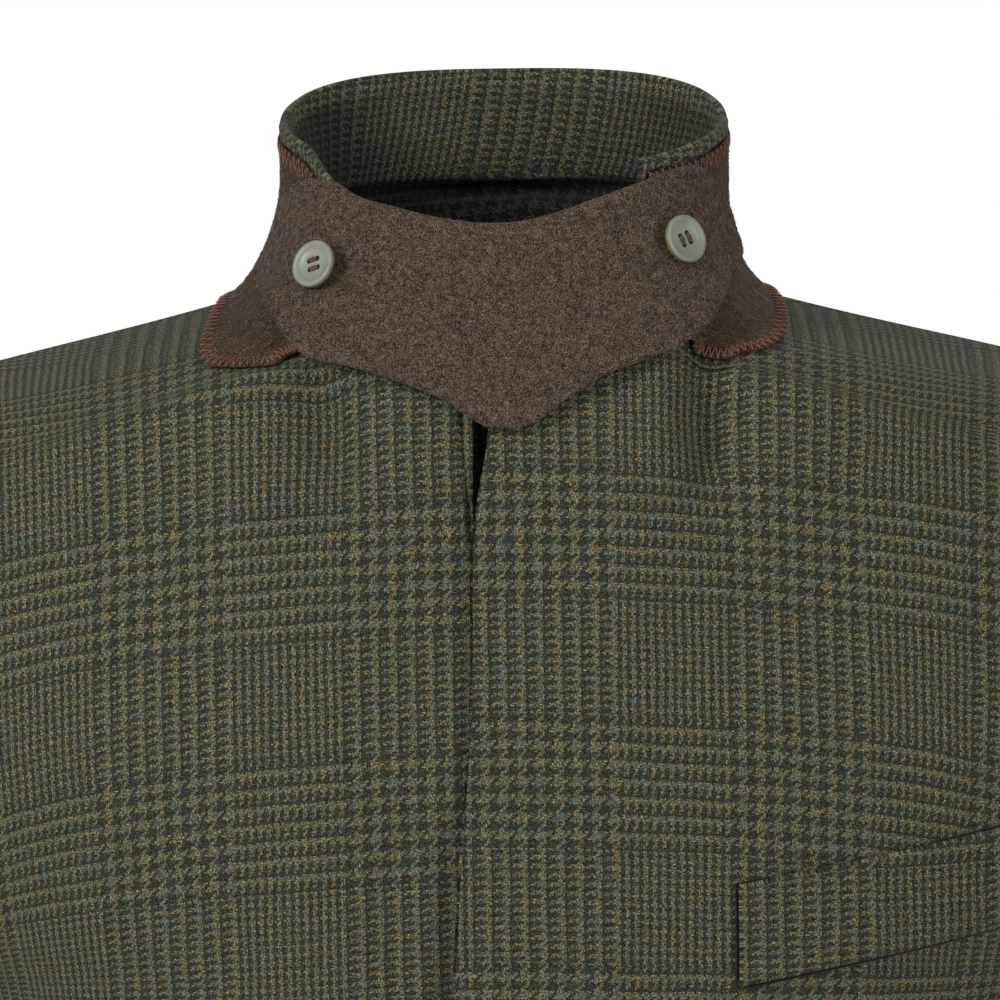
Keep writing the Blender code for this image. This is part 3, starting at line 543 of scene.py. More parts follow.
def neck_point(angle, height):
    """Points of the raised collar's form; angle 0 is the centre front, 90 the wearer's left."""
    angle, height = np.broadcast_arrays(np.asarray(angle, float), np.asarray(height, float))
    ring = NECK_CURVE(height.ravel()).reshape(height.shape + (8,))
    half_width, front_y, back_y, front_z, side_z, back_z, squareness, middle_x = np.moveaxis(ring, -1, 0)
    sine = np.sin(np.radians(angle))
    cosine = np.cos(np.radians(angle))
    power = 2.0 / squareness
    fore = np.maximum(cosine, 0.0)
    aft = np.maximum(-cosine, 0.0)
    x = middle_x + half_width * np.sign(sine) * np.abs(sine) ** power
    y = SIDE_Y + (front_y - SIDE_Y) * fore ** power + (back_y - SIDE_Y) * aft ** power
    upper = ease(height, RIM_DROP_HEIGHT, 1.0)
    drop = FRONT_DROP + (RIM_DROP - FRONT_DROP) * upper
    rise = power + (BACK_RISE - power) * upper
    z = side_z + (front_z - side_z) * fore ** drop + (back_z - side_z) * aft ** rise
    return np.stack([x, y, z], axis=-1)


def neck_grid(angle, height, lift):
    """Points of the collar's form moved out by lift along its normal."""
    angle, height, lift = np.broadcast_arrays(angle, height, lift)
    around = neck_point(angle + 1.0, height) - neck_point(angle - 1.0, height)
    upward = neck_point(angle, height + 0.02) - neck_point(angle, height - 0.02)
    return neck_point(angle, height) + unit(np.cross(around, upward)) * lift[..., None]


def half_body(side):
    """The loft of one half of the body: a function of (across, along) that gives points."""
    inner = []
    for section in SECTIONS:
        if section.neck_deg is None:
            edge_x = section.lap_x if side > 0 else section.under_x
            inner.append((edge_x, section.inner_y, section.inner_z))
        else:
            x, y, z = neck_point(side * section.neck_deg, 0.0)
            inner.append((side * x, y, z))
    outer = [(s.outer_x, s.outer_y, s.outer_z) for s in SECTIONS]
    bend = [(s.turn_deg, s.sag, LEVEL_RISE if s.neck_deg is None else 1.0) for s in SECTIONS]
    index = np.arange(len(SECTIONS))
    inner_at = curve(index, inner, (PLACE["front_neck"], PLACE["back_neck"]))
    outer_at = curve(index, outer, (PLACE["front_underarm"], PLACE["back_underarm"]))
    bend_at = curve(index, bend, (PLACE["front_underarm"], PLACE["back_underarm"]))

    def at(across, along):
        across, along = np.broadcast_arrays(np.asarray(across, float), np.asarray(along, float))
        flat = along.ravel()
        start = inner_at(flat).reshape(along.shape + (3,))
        end = outer_at(flat).reshape(along.shape + (3,))
        turn, sag, rise = np.moveaxis(bend_at(flat).reshape(along.shape + (3,)), -1, 0)
        turn = np.radians(turn)
        sideways = np.sin(across * turn) / np.sin(turn)
        backwards = np.abs((1 - np.cos(across * turn)) / (1 - np.cos(turn))) ** CHEST_FULLNESS
        points = np.empty(along.shape + (3,))
        points[..., 0] = start[..., 0] + (end[..., 0] - start[..., 0]) * sideways
        points[..., 1] = start[..., 1] + (end[..., 1] - start[..., 1]) * backwards
        points[..., 2] = start[..., 2] + (end[..., 2] - start[..., 2]) * np.abs(across) ** rise
        points[..., 2] -= SAG_SHAPE * sag * across ** 2 * (1 - across)
        points[..., 0] *= side
        return points

    return at


BODY = {1: half_body(1), -1: half_body(-1)}


def fold_depth(points, folds, side):
    """How far the folds of one side press the points in."""
    total = np.zeros(points.shape[:-1])
    flat = np.stack([points[..., 0] * side, points[..., 2]], axis=-1)
    for fold in folds:
        if fold.side != side:
            continue
        start = np.array([fold.start_x, fold.start_z])
        along = np.array([fold.end_x, fold.end_z]) - start
        part = np.clip(((flat - start) @ along) / (along @ along), 0.0, 1.0)
        away = np.linalg.norm(flat - start - part[..., None] * along, axis=-1)
        taper = ease(part, *FOLD_GROWS) * (1.0 - FOLD_FADE * ease(part, *FOLD_FADES))
        total += fold.depth * taper * np.exp(-(away / fold.width) ** 2)
    return total


def body_grid(side, across, along, lift):
    """Points of one half of the body, with its folds, moved out by lift along the normal."""
    loft = BODY[side]
    across, along = np.meshgrid(across, along)
    points = loft(across, along)
    sideways = loft(across + 0.01, along) - loft(across - 0.01, along)
    onward = loft(across, along + 0.02) - loft(across, along - 0.02)
    normal = unit(np.cross(sideways, onward)) * side
    front = along <= PLACE["shoulder"]
    press = np.where(
        front,
        fold_depth(points, FRONT_FOLDS + FRONT_CREASES, side),
        fold_depth(points, BACK_FOLDS + BACK_CREASES, side),
    )
    if side < 0:
        x, z = points[..., 0], points[..., 2]
        under = LAP_RECESS + LAP_LEAN * np.maximum(x + LAP_REACH_X[0], 0.0)
        under *= (1.0 - ease(-x, *LAP_REACH_X)) * ease(-z, -LAP_START_Z[0], -LAP_START_Z[1])
        from_edge = loft(np.zeros_like(across), along)[..., 0] - x
        place = EDGE_LINE_PLACE * (1.0 - EDGE_LINE_CLOSING * ease(-z, *EDGE_LINE_CLOSES))
        line = EDGE_LINE_DEPTH * np.exp(-((from_edge - place) / EDGE_LINE_WIDTH) ** 2)
        line *= ease(-z, *EDGE_LINE_STARTS) * (1.0 - ease(-z, *EDGE_LINE_ENDS))
        press = press + np.where(front, under + line, 0.0)
    return points + normal * (lift - press)[..., None]


def spread(start, end, step):
    """Places along the body loft between two sections, about a step apart."""
    places = []
    for index in range(PLACE[start], PLACE[end]):
        ends = BODY[1](np.array([[0.0], [0.5], [1.0]]), np.array([index, index + 1.0]))
        reach = np.linalg.norm(ends[:, 1] - ends[:, 0], axis=-1).max()
        steps = max(2, int(math.ceil(reach / step)))
        places += [index + part / steps for part in range(steps)]
    return np.array(places + [PLACE[end]], float)


def drawn_in(grid, distance):
    """The grid with its four edges drawn in by a distance."""
    grid = grid.copy()
    for axis in (0, 1):
        line = np.moveaxis(grid, axis, 0)
        line[0] += unit(line[1] - line[0]) * distance
        line[-1] += unit(line[-2] - line[-1]) * distance
    return grid


def border_of(rows, columns):
    """Row and column of each point round the edge of a grid."""
    border = [(0, j) for j in range(columns - 1)]
    border += [(i, columns - 1) for i in range(rows - 1)]
    border += [(rows - 1, j) for j in range(columns - 1, 0, -1)]
    border += [(i, 0) for i in range(rows - 1, 0, -1)]
    return np.array(border)


def new_piece(name, points, faces, material, **attributes):
    """A smooth mesh of points in millimetres that rides on the coat; attributes are for its material."""
    mesh = bpy.data.meshes.new(name)
    mesh.from_pydata((np.asarray(points) * MM).tolist(), [], faces)
    for label, values in attributes.items():
        values = np.asarray(values, np.float32)
        kind = "FLOAT" if values.ndim == 1 else "FLOAT_VECTOR"
        layer = mesh.attributes.new(label, kind, "POINT")
        layer.data.foreach_set("value" if values.ndim == 1 else "vector", values.ravel())
    bm = bmesh.new()
    bm.from_mesh(mesh)
    bmesh.ops.recalc_face_normals(bm, faces=bm.faces)
    bm.to_mesh(mesh)
    bm.free()
    mesh.shade_smooth()
    mesh.materials.append(material)
    piece = bpy.data.objects.new(name, mesh)
    bpy.context.scene.collection.objects.link(piece)
    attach(piece, "root")
    return piece


def add_shell(name, outer, inner, grain, material, inset=SEAM_INSET, hollow=None):
    """A thin closed shell between two grids, with rounded edges."""
    rows, columns = outer.shape[:2]
    border = border_of(rows, columns)
    outer = drawn_in(outer, inset)
    inner = drawn_in(inner, inset)
    middle = ((outer + inner) / 2)[border[:, 0], border[:, 1]]
    outer = drawn_in(outer, EDGE_ROUND)
    inner = drawn_in(inner, EDGE_ROUND)
    count = rows * columns
    number = np.arange(count).reshape(rows, columns)
    quads = np.stack([number[:-1, :-1], number[:-1, 1:], number[1:, 1:], number[1:, :-1]], axis=-1)
    quads = quads.reshape(-1, 4)
    edge = number[border[:, 0], border[:, 1]]
    ring = 2 * count + np.arange(len(border))
    onward = np.roll(np.arange(len(border)), -1)
    near = np.stack([edge, ring, ring[onward], edge[onward]], axis=-1)
    far = np.stack([ring, edge + count, edge[onward] + count, ring[onward]], axis=-1)
    faces = np.concatenate([quads, quads[:, ::-1] + count, near, far]).tolist()
    points = np.concatenate([outer.reshape(-1, 3), inner.reshape(-1, 3), middle])
    flat = grain.reshape(-1, 2)
    threads = np.concatenate([flat, flat, flat[edge]]) * MM
    threads = np.hstack([threads, np.zeros((len(threads), 1))])
    attributes = {"grain": threads}
    # Painted shade, where given, is handed to the material as an attribute
    if hollow is not None:
        flat = hollow.reshape(-1)
        attributes["hollow"] = np.concatenate([flat, flat, flat[edge]])
    return new_piece(name, points, faces, material, **attributes)


def lengths(grid, axis, parts):
    """How far each point lies along an axis of a grid, measured over the given coordinates."""
    steps = np.linalg.norm(np.diff(grid[..., parts], axis=axis), axis=-1)
    start = np.zeros_like(np.take(steps, [0], axis=axis))
    return np.concatenate([start, np.cumsum(steps, axis=axis)], axis=axis)


def body_grain(grid, side, along, level, label):
    """Distances along weft and warp on a body panel, from the centre line and from the check's start."""
    weft = side * (grid[:, :1, 0] * side + lengths(grid, 1, [0, 1]))
    warp = lengths(grid, 0, [1, 2])
    row = int(np.argmin(np.abs(along - level)))
    if grid[0, 0, 2] > grid[-1, 0, 2]:
        warp = -warp
    warp = warp - warp[row] + grid[row, :1, 2].mean()
    start = CHECK_START[label]
    return np.stack([weft - start[0], warp - start[1]], axis=-1)


def cloth_grain(grid, label):
    """Distances over any other piece, from its middle column and its first row, or a sleeve's cuff."""
    weft = lengths(grid, 1, [0, 1, 2])
    weft = weft - weft[:, grid.shape[1] // 2][:, None]
    warp = lengths(grid, 0, [0, 1, 2])
    if label == "sleeve":
        warp = warp - warp[-1:]
    start = CHECK_START[label]
    return np.stack([weft - start[0], warp - start[1]], axis=-1)


class Nodes:
    """Short calls that add and join the nodes of one material."""

    def __init__(self, name):
        self.material = bpy.data.materials.new(name)
        self.material.use_nodes = True
        self.tree = self.material.node_tree
        self.shader = self.tree.nodes["Principled BSDF"]

    def add(self, kind, inputs=(), **settings):
        node = self.tree.nodes.new("ShaderNode" + kind)
        for label, value in settings.items():
            setattr(node, label, value)
        for place, value in dict(inputs).items():
            self.put(node.inputs[place], value)
        return node

    def put(self, socket, value):
        if isinstance(value, bpy.types.NodeSocket):
            self.tree.links.new(value, socket)
        else:
            socket.default_value = value

    def math(self, operation, *values):
        return self.add("Math", dict(enumerate(values)), operation=operation).outputs[0]

    def below(self, value, step, limit, shift=0.0):
        """1 where value, counted round in steps, is below the limit."""
        moved = self.math("ADD", value, shift) if shift else value
        return self.math("LESS_THAN", self.math("FLOORED_MODULO", moved, step), limit)

    def choose(self, factor, low, high):
        """Number low where factor is 0 and high where it is 1."""
        node = self.add("Mix", data_type="FLOAT")
        self.put(node.inputs[0], factor)
        self.put(node.inputs[2], low)
        self.put(node.inputs[3], high)
        return node.outputs[0]

    def blend(self, factor, low, high, kind="MIX"):
        """Colour low where factor is 0 and high where it is 1."""
        node = self.add("Mix", data_type="RGBA", blend_type=kind)
        self.put(node.inputs[0], factor)
        self.put(node.inputs[6], low)
        self.put(node.inputs[7], high)
        return node.outputs[2]

    def noise(self, vector, scale, detail=2.0, rough=0.5):
        inputs = {"Vector": vector, "Scale": scale, "Detail": detail, "Roughness": rough}
        return self.add("TexNoise", inputs).outputs["Fac"]

    def spread(self, value, low, high, new_low=0.0, new_high=1.0):
        inputs = {1: low, 2: high, 3: new_low, 4: new_high}
        node = self.add("MapRange", inputs)
        self.put(node.inputs[0], value)
        return node.outputs[0]

    def ramp(self, value, *stops):
        node = self.add("ValToRGB")
        stretch = node.color_ramp
        while len(stretch.elements) < len(stops):
            stretch.elements.new(0.5)
        for element, (place, colour) in zip(stretch.elements, stops):
            element.position = place
            element.color = (*colour, 1.0)
        self.put(node.inputs[0], value)
        return node.outputs[0]

    def finish(self, colour, height, strength, distance, **constants):
        """Joins a colour and a height to the shader and sets its constant values."""
        self.put(self.shader.inputs["Base Color"], colour)
        if height is not None:
            bump = self.add("Bump", {"Height": height, "Strength": strength, "Distance": distance * MM})
            self.put(self.shader.inputs["Normal"], bump.outputs[0])
        for label, value in constants.items():
            self.shader.inputs[label.replace("_", " ")].default_value = value
        return self.material


# Yarn colours of the tweed, as linear light
DARK_YARN = (0.026, 0.031, 0.030)
LIGHT_YARN = (0.089, 0.090, 0.055)
MUSTARD_YARN = (0.180, 0.128, 0.036)
TEAL_YARN = (0.057, 0.100, 0.096)
RUST_YARN = (0.160, 0.076, 0.034)
CREAM_YARN = (0.22, 0.215, 0.155)
# Dark threads: how much of the light yarns is mixed in, and their tint
DULL_MIX = 0.20
DULL_TINT = (0.60, 0.62, 0.58)
# How the threads stray: noise scales, and how many threads they move
FUZZ_SCALE = 2600.0
FUZZ_THREADS = 1.5
SWAY_SCALE = 55.0
SWAY_THREADS = 1.6
# Streaks of fibre along the warp and along the weft, and patches of hue
STREAK_SCALES = ((2300.0, 1250.0, 1.0), (1250.0, 2300.0, 1.0))
PATCH_SCALE = 210.0
PATCH_SHARE = 0.25
# Brightness of the fibres, and the pale ones among them
FIBRE_SPAN = (0.33, 0.68)
FIBRE_POWER = 1.9
FIBRE_GAIN = 3.7
FIBRE_FLOOR = 0.20
GLINT_SPAN = (0.58, 0.70)
GLINT_SHARE = 0.55
FIBRE_RELIEF = 0.9


def tweed_material():
    """Wool twill in a glen check, with mixed yarns, thread relief and a soft nap, darkened by painted shade
    where a piece carries it.
    """
    n = Nodes("tweed_weave")
    grain = n.add("Attribute", attribute_name="grain").outputs["Vector"]
    fuzz = n.add("TexNoise", {"Vector": grain, "Scale": FUZZ_SCALE, "Detail": 1.0}).outputs["Color"]
    sway = n.add("TexNoise", {"Vector": grain, "Scale": SWAY_SCALE, "Detail": 2.0}).outputs["Color"]
    part = n.add("SeparateXYZ", {0: grain})
    soft = n.add("SeparateXYZ", {0: fuzz})
    bend = n.add("SeparateXYZ", {0: sway})
    count = []
    for axis, pitch in ((0, WARP_PITCH), (1, WEFT_PITCH)):
        place = n.math("MULTIPLY", part.outputs[axis], 1.0 / (pitch * MM))
        place = n.math("MULTIPLY_ADD", n.math("SUBTRACT", soft.outputs[axis], 0.5), FUZZ_THREADS, place)
        place = n.math("MULTIPLY_ADD", n.math("SUBTRACT", bend.outputs[axis], 0.5), SWAY_THREADS, place)
        count.append(place)
    warp, weft = count
    warp_number = n.math("FLOOR", warp)
    weft_number = n.math("FLOOR", weft)
    dark = []
    for number, (wide, narrow), shift in ((warp_number, WARP_REPEAT, 0), (weft_number, WEFT_REPEAT, 3)):
        place = n.math("FLOORED_MODULO", number, wide + narrow)
        zone = n.math("LESS_THAN", place, wide)
        dark.append(n.choose(zone, n.below(place, 4, 2, shift), n.below(place, 8, 4)))
    step = n.math("SUBTRACT", warp_number, weft_number)
    warp_up = n.below(step, 4, 2)
    is_dark = n.choose(warp_up, dark[1], dark[0])
    streaks = []
    for scale in STREAK_SCALES:
        drawn = n.add("VectorMath", {0: grain, 1: scale}, operation="MULTIPLY").outputs[0]
        streak = n.add("TexNoise", {"Vector": drawn, "Scale": 1.0, "Detail": 2.0, "Roughness": 0.6})
        streaks.append(streak.outputs["Color"])
    speck = n.add("SeparateXYZ", {0: n.blend(warp_up, streaks[1], streaks[0])})
    patch = n.noise(grain, PATCH_SCALE)
    own = n.math("MULTIPLY", speck.outputs[1], 1.0 - PATCH_SHARE)
    hue = n.math("ADD", own, n.math("MULTIPLY", patch, PATCH_SHARE))
    light = n.ramp(
        hue,
        (0.39, TEAL_YARN),
        (0.45, LIGHT_YARN),
        (0.54, LIGHT_YARN),
        (0.59, MUSTARD_YARN),
        (0.66, RUST_YARN),
    )
    dull = n.blend(DULL_MIX, (*DARK_YARN, 1.0), light)
    dull = n.blend(1.0, dull, (*DULL_TINT, 1.0), "MULTIPLY")
    colour = n.blend(is_dark, light, dull)
    fibre = n.spread(speck.outputs[0], *FIBRE_SPAN)
    brightness = n.math("MULTIPLY_ADD", n.math("POWER", fibre, FIBRE_POWER), FIBRE_GAIN, FIBRE_FLOOR)
    colour = n.blend(1.0, colour, brightness, "MULTIPLY")
    glint = n.spread(speck.outputs[2], *GLINT_SPAN)
    colour = n.blend(n.math("MULTIPLY", glint, GLINT_SHARE), colour, (*CREAM_YARN, 1.0))
    # Painted shade: the colour is darkened by the shade attribute that the piece carries
    hollow = n.add("Attribute", attribute_name="hollow").outputs["Fac"]
    colour = n.blend(1.0, colour, n.math("SUBTRACT", 1.0, hollow), "MULTIPLY")
    height = []
    for place in (warp, weft):
        middle = n.math("MULTIPLY_ADD", n.math("FRACT", place), 2.0, -1.0)
        height.append(n.math("SUBTRACT", 1.0, n.math("MULTIPLY", middle, middle)))
    relief = n.choose(warp_up, height[1], height[0])
    relief = n.math("MULTIPLY_ADD", fibre, FIBRE_RELIEF, relief)
    return n.finish(colour, relief, 0.55, 0.30, Roughness=0.95, Sheen_Weight=0.03, Sheen_Roughness=0.6,
                    Specular_IOR_Level=0.15)


FELT_DARK = (0.020, 0.012, 0.009)
FELT_MIDDLE = (0.064, 0.044, 0.032)
FELT_LIGHT = (0.215, 0.160, 0.124)
HAIR_PALE = (0.46, 0.39, 0.33)


def felt_material(name, tint_and_shade):
    """Brown melange wool felt: clouded fibres of several tones, multiplied by a tint that for the collar's
    felt also paints shade.
    """
    n = Nodes(name)
    place = n.add("TexCoord").outputs["Object"]
    wander = n.add("TexNoise", {"Vector": place, "Scale": 330.0, "Detail": 2.0}).outputs["Color"]
    bent = n.add("VectorMath", {0: wander, 1: (0.0022,) * 3, 2: place}, operation="MULTIPLY_ADD").outputs[0]
    strands = n.noise(bent, 2500.0, 3.0, 0.68)
    clouds = n.noise(place, 420.0, 2.0, 0.5)
    mixed = n.math("ADD", n.math("MULTIPLY", strands, 0.84), n.math("MULTIPLY", clouds, 0.16))
    colour = n.ramp(mixed, (0.41, FELT_DARK), (0.50, FELT_MIDDLE), (0.59, FELT_LIGHT))
    colour = n.blend(1.0, colour, (*tint_and_shade, 1.0), "MULTIPLY")
    return n.finish(colour, strands, 0.5, 0.35, Roughness=1.0, Sheen_Weight=0.04, Sheen_Roughness=0.5,
                    Specular_IOR_Level=0.1)


def fibre_material():
    """Loose wool hairs, each with its own tone."""
    n = Nodes("felt_hairs")
    tone = n.add("Attribute", attribute_name="tone").outputs["Fac"]
    colour = n.ramp(tone, (0.0, FELT_DARK), (0.45, FELT_MIDDLE), (0.8, FELT_LIGHT), (1.0, HAIR_PALE))
    return n.finish(colour, None, 0, 0, Roughness=0.8, Specular_IOR_Level=0.2)


def thread_material(name, low, high):
    """Twisted sewing thread between two tones; the same makes the near-black cord that paints the welt's
    shadow.
    """
    n = Nodes(name)
    place = n.add("TexCoord").outputs["Object"]
    twist = n.noise(place, 2400.0, 2.0, 0.6)
    colour = n.ramp(twist, (0.3, low), (0.7, high))
    return n.finish(colour, twist, 0.4, 0.1, Roughness=0.7, Sheen_Weight=0.1, Specular_IOR_Level=0.3)


BUTTON_FACE = (0.215, 0.236, 0.190)
BUTTON_PALE = (0.285, 0.305, 0.250)
BUTTON_EDGE = (0.150, 0.130, 0.060)


def button_material():
    """Pale grey-green button with faint clouding and an olive side."""
    n = Nodes("button_shell")
    place = n.add("TexCoord").outputs["Object"]
    where = n.add("SeparateXYZ", {0: n.add("Attribute", attribute_name="grain").outputs["Vector"]})
    clouds = n.noise(place, 160.0, 3.0, 0.5)
    face = n.ramp(clouds, (0.35, BUTTON_FACE), (0.65, BUTTON_PALE))
    level = n.spread(where.outputs[1], 0.80, 0.93)
    outside = n.math("GREATER_THAN", where.outputs[0], 0.90)
    side = n.math("MULTIPLY", outside, n.math("SUBTRACT", 1.0, level))
    colour = n.blend(side, face, (*BUTTON_EDGE, 1.0))
    return n.finish(colour, clouds, 0.05, 0.1, Roughness=0.38, Specular_IOR_Level=0.4)


TWEED = tweed_material()
TAB_FELT = felt_material("tab_felt", (0.95, 0.94, 0.91))
# Painted shade: the collar's felt is a darker, browner copy of the tab's felt, for the wings in shade under
# the tab
COLLAR_FELT_PAINTED_SHADE = felt_material("collar_felt_painted_shade", (0.79, 0.72, 0.62))
HAIRS = fibre_material()
RUST_THREAD = thread_material("rust_thread", (0.120, 0.050, 0.028), (0.360, 0.155, 0.090))
OLIVE_THREAD = thread_material("olive_thread", (0.012, 0.010, 0.007), (0.130, 0.098, 0.048))
# Painted shadow: a near-black cord laid along the welt's seam stands for its shadow
WELT_SHADOW_CORD = thread_material("welt_painted_shadow_cord", (0.005, 0.006, 0.005), (0.018, 0.020, 0.016))
BROWN_THREAD = thread_material("brown_thread", (0.045, 0.030, 0.018), (0.16, 0.105, 0.062))
SHELL = button_material()


def add_panel(name, side, start, end, label, level):
    """A front or a back between two sections of the body loft."""
    across = np.linspace(0.0, 1.0, PANEL_COLUMNS + 1) ** EDGE_CROWDING
    along = spread(start, end, PANEL_STEP)
    outer = body_grid(side, across, along, 0.0)
    inner = body_grid(side, across, along, -BODY_WALL)
    grain = body_grain(BODY[side](*np.meshgrid(across, along)), side, along, PLACE[level], label)
    piece = add_shell(name + "_cloth", outer, inner, grain, TWEED)
    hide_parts(name)
    return piece


ARM_CURVE = curve(np.linspace(0, 1, len(ARM_RINGS)), ARM_RINGS)


def arm_point(angle, place):
    """Points of the arm's rings; angle 0 is the outer side and 90 the front."""
    ring = ARM_CURVE(place.ravel()).reshape(place.shape + (5,))
    onward = ARM_CURVE((place + 0.01).ravel()) - ARM_CURVE((place - 0.01).ravel())
    axis = unit(onward[:, :3].reshape(place.shape + (3,)))
    forward = unit(np.array([0.0, -1.0, 0.0]) + axis * axis[..., 1:2])
    outward = unit(np.cross(forward, axis))
    turn = np.radians(angle)
    return (
        ring[..., :3]
        + outward * (ring[..., 3] * np.cos(turn))[..., None]
        + forward * (ring[..., 4] * np.sin(turn))[..., None]
    )


def sleeve_grid(side, along, lift):
    """Points of a sleeve; its columns start at the places along the armhole."""
    armhole = BODY[1](np.ones_like(along), along)
    length = np.concatenate([[0.0], np.cumsum(np.linalg.norm(np.diff(armhole, axis=0), axis=-1))])
    top = np.interp(PLACE["shoulder"], along, length)
    before = 180.0 * (1.0 - length / top)
    after = -180.0 * (length - top) / (length[-1] - top)
    angle = np.where(length < top, before, after)
    upper = np.maximum(np.cos(np.radians(angle)), 0.0)
    fall = CAP_FALL_TOP * upper + CAP_FALL_UNDER * (1.0 - upper)
    leave = unit(np.stack([np.ones_like(fall), np.zeros_like(fall), -fall], axis=-1))
    zero = np.zeros_like(angle)
    arm_start = arm_point(angle, zero)
    arrive = unit(arm_point(angle, zero + 0.01) - arm_start)
    reach = np.linalg.norm(arm_start - armhole, axis=-1, keepdims=True)
    rows = []
    for part in np.linspace(0.0, 1.0, CAP_STEPS + 1):
        rows.append(
            (2 * part ** 3 - 3 * part ** 2 + 1) * armhole
            + (part ** 3 - 2 * part ** 2 + part) * leave * reach * CAP_LEAVE
            + (3 * part ** 2 - 2 * part ** 3) * arm_start
            + (part ** 3 - part ** 2) * arrive * reach * CAP_ARRIVE
        )
    for part in np.linspace(0.0, 1.0, ARM_STEPS + 1)[1:]:
        rows.append(arm_point(angle, zero + part))
    grid = np.array(rows)
    onward = np.gradient(grid, axis=0)
    onward[0] = leave
    normal = unit(np.cross(onward, np.gradient(grid, axis=1)))
    place = np.concatenate([np.zeros(CAP_STEPS), np.linspace(0.0, 1.0, ARM_STEPS + 1)])[:, None]
    press = np.zeros(grid.shape[:2])
    for fold in ARM_FOLDS + ARM_CREASES:
        turn = (angle[None, :] - fold.angle) / fold.reach
        away = (place - fold.place - fold.slope * turn * 0.5) / fold.width
        press += fold.depth * np.exp(-away ** 2 - turn ** 2)
    grid = grid + normal * (lift - press)[..., None]
    grid[..., 0] *= side
    return grid


def add_sleeve(side, tag):
    """A top sleeve over the outer arm and an under sleeve within its two seams."""
    front = spread("front_underarm", "shoulder", SLEEVE_STEP)
    back = spread("shoulder", "back_underarm", SLEEVE_STEP)
    whole = np.concatenate([front, back[1:]])
    first = int(np.argmin(np.abs(whole - PLACE[SLEEVE_FRONT_SEAM])))
    second = int(np.argmin(np.abs(whole - PLACE[SLEEVE_BACK_SEAM])))
    outer = sleeve_grid(side, whole, 0.0)
    inner = sleeve_grid(side, whole, -SLEEVE_WALL)
    upper = list(range(first, second + 1))
    lower = list(range(second, len(whole))) + list(range(1, first + 1))
    made = []
    for name, columns in (("top_sleeve_" + tag, upper), ("under_sleeve_" + tag, lower)):
        grain = cloth_grain(outer[:, columns], "sleeve")
        piece = add_shell(name + "_cloth", outer[:, columns], inner[:, columns], grain, TWEED)
        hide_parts(name)
        made.append(piece)
    return made


def collar_angles(heights, share, inset):
    """Angles of the collar's columns at each height, inset degrees from its ends."""
    part = np.clip(np.asarray(heights, float), 0.0, 1.0)[:, None]
    start = COLLAR_END_LEFT[0] + (COLLAR_END_LEFT[1] - COLLAR_END_LEFT[0]) * part + inset
    end = 360.0 - COLLAR_END_RIGHT[0] - (COLLAR_END_RIGHT[1] - COLLAR_END_RIGHT[0]) * part - inset
    return start + (end - start) * share[None, :]


def dipped(angle, height):
    """Heights lowered towards the collar's right end, where the rim sinks behind the tab."""
    end = 360.0 - COLLAR_END_RIGHT[1]
    return height - RIM_DIP * ease(angle, end - RIM_DIP_ANGLE, end) * np.maximum(2.0 * height - 1.0, 0.0)


def add_top_collar():
    """The tweed inside of the collar, with its roll, groove and the turned edge that frames the felt, and
    painted shade in its colour deep inside.
    """
    heights = np.concatenate([np.linspace(*rows) for rows in COLLAR_ROWS])
    share = np.linspace(0.0, 1.0, COLLAR_COLUMNS + 1)
    middle = collar_angles(heights, share, LIP_END)
    rims = collar_angles(heights, np.array([0.0, 1.0]), 0.0)
    steps = collar_angles(heights, np.array([0.0, 1.0]), LIP_END - LIP_STEP)
    angle = np.hstack([rims[:, :1], steps[:, :1], middle, steps[:, 1:], rims[:, 1:]])
    height = np.broadcast_to(heights[:, None], angle.shape)
    edge = height >= LIP_HEIGHT
    edge[:, :2] = True
    edge[:, -2:] = True
    behind = ease(angle, *ROLL_STARTS) * (1.0 - ease(angle, *ROLL_STOPS))
    roll = hump(height, GROOVE_HEIGHT, ROLL_HEIGHT, ROLL_END) * ROLL_DEPTH
    stand = hump(height, STAND_START, STAND_HEIGHT, GROOVE_HEIGHT) * STAND_DEPTH
    swell = (roll + stand) * behind
    lowered = dipped(angle, height)
    outer = neck_grid(angle, lowered, np.where(edge, LIP_STAND, 0.0))
    inner = neck_grid(angle, lowered, LIP_THINNING * ease(height, *LIP_THINS) - COLLAR_WALL - swell)
    grain = cloth_grain(inner, "top_collar")
    # Painted shade: darkens the colour inside the collar, more to the left and right and most below the
    # groove, none at the rim
    inside = 1.0 - ease(height, PAINTED_SHADE_FADES, LIP_HEIGHT)
    hollow = PAINTED_SHADE_TOP + PAINTED_SHADE_LEFT * (1.0 - ease(angle, *PAINTED_SHADE_LEFT_ENDS))
    hollow = hollow + PAINTED_SHADE_RIGHT * ease(angle, *PAINTED_SHADE_RIGHT_STARTS)
    hollow = hollow + (PAINTED_SHADE_FOOT - hollow) * (1.0 - ease(height, GROOVE_HEIGHT, ROLL_HEIGHT))
    hollow = hollow * inside
    piece = add_shell("top_collar_cloth", outer, inner, grain, TWEED, 0.0, hollow)
    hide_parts("top_collar")
    return piece


def body_tree():
    """The outsides of the four body panels, for finding the nearest point on them."""
    corners = []
    faces = []
    across = np.linspace(0.0, 1.0, TREE_COLUMNS)
    for side in (1, -1):
        for start, end in (("front_blade", "shoulder"), ("shoulder", "back_blade")):
            grid = body_grid(side, across, spread(start, end, TREE_STEP), 0.0)
            first = len(corners)
            rows, columns = grid.shape[:2]
            corners += [Vector(point) for point in grid.reshape(-1, 3)]
            for i in range(rows - 1):
                for j in range(columns - 1):
                    here = first + i * columns + j
                    faces.append((here, here + 1, here + columns + 1, here + columns))
    return BVHTree.FromPolygons(corners, faces)


def lying_points(tree, targets, lift):
    """Targets brought down to the body and moved out by lift."""
    points = []
    for target in targets:
        target = Vector(target)
        spot, normal = tree.find_nearest(target)[:2]
        outward = Vector((target.x, target.y - SIDE_Y, abs(target.x) + 20.0))
        if normal.dot(outward) < 0.0:
            normal = -normal
        points.append(spot + normal * lift)
    return np.array(points)


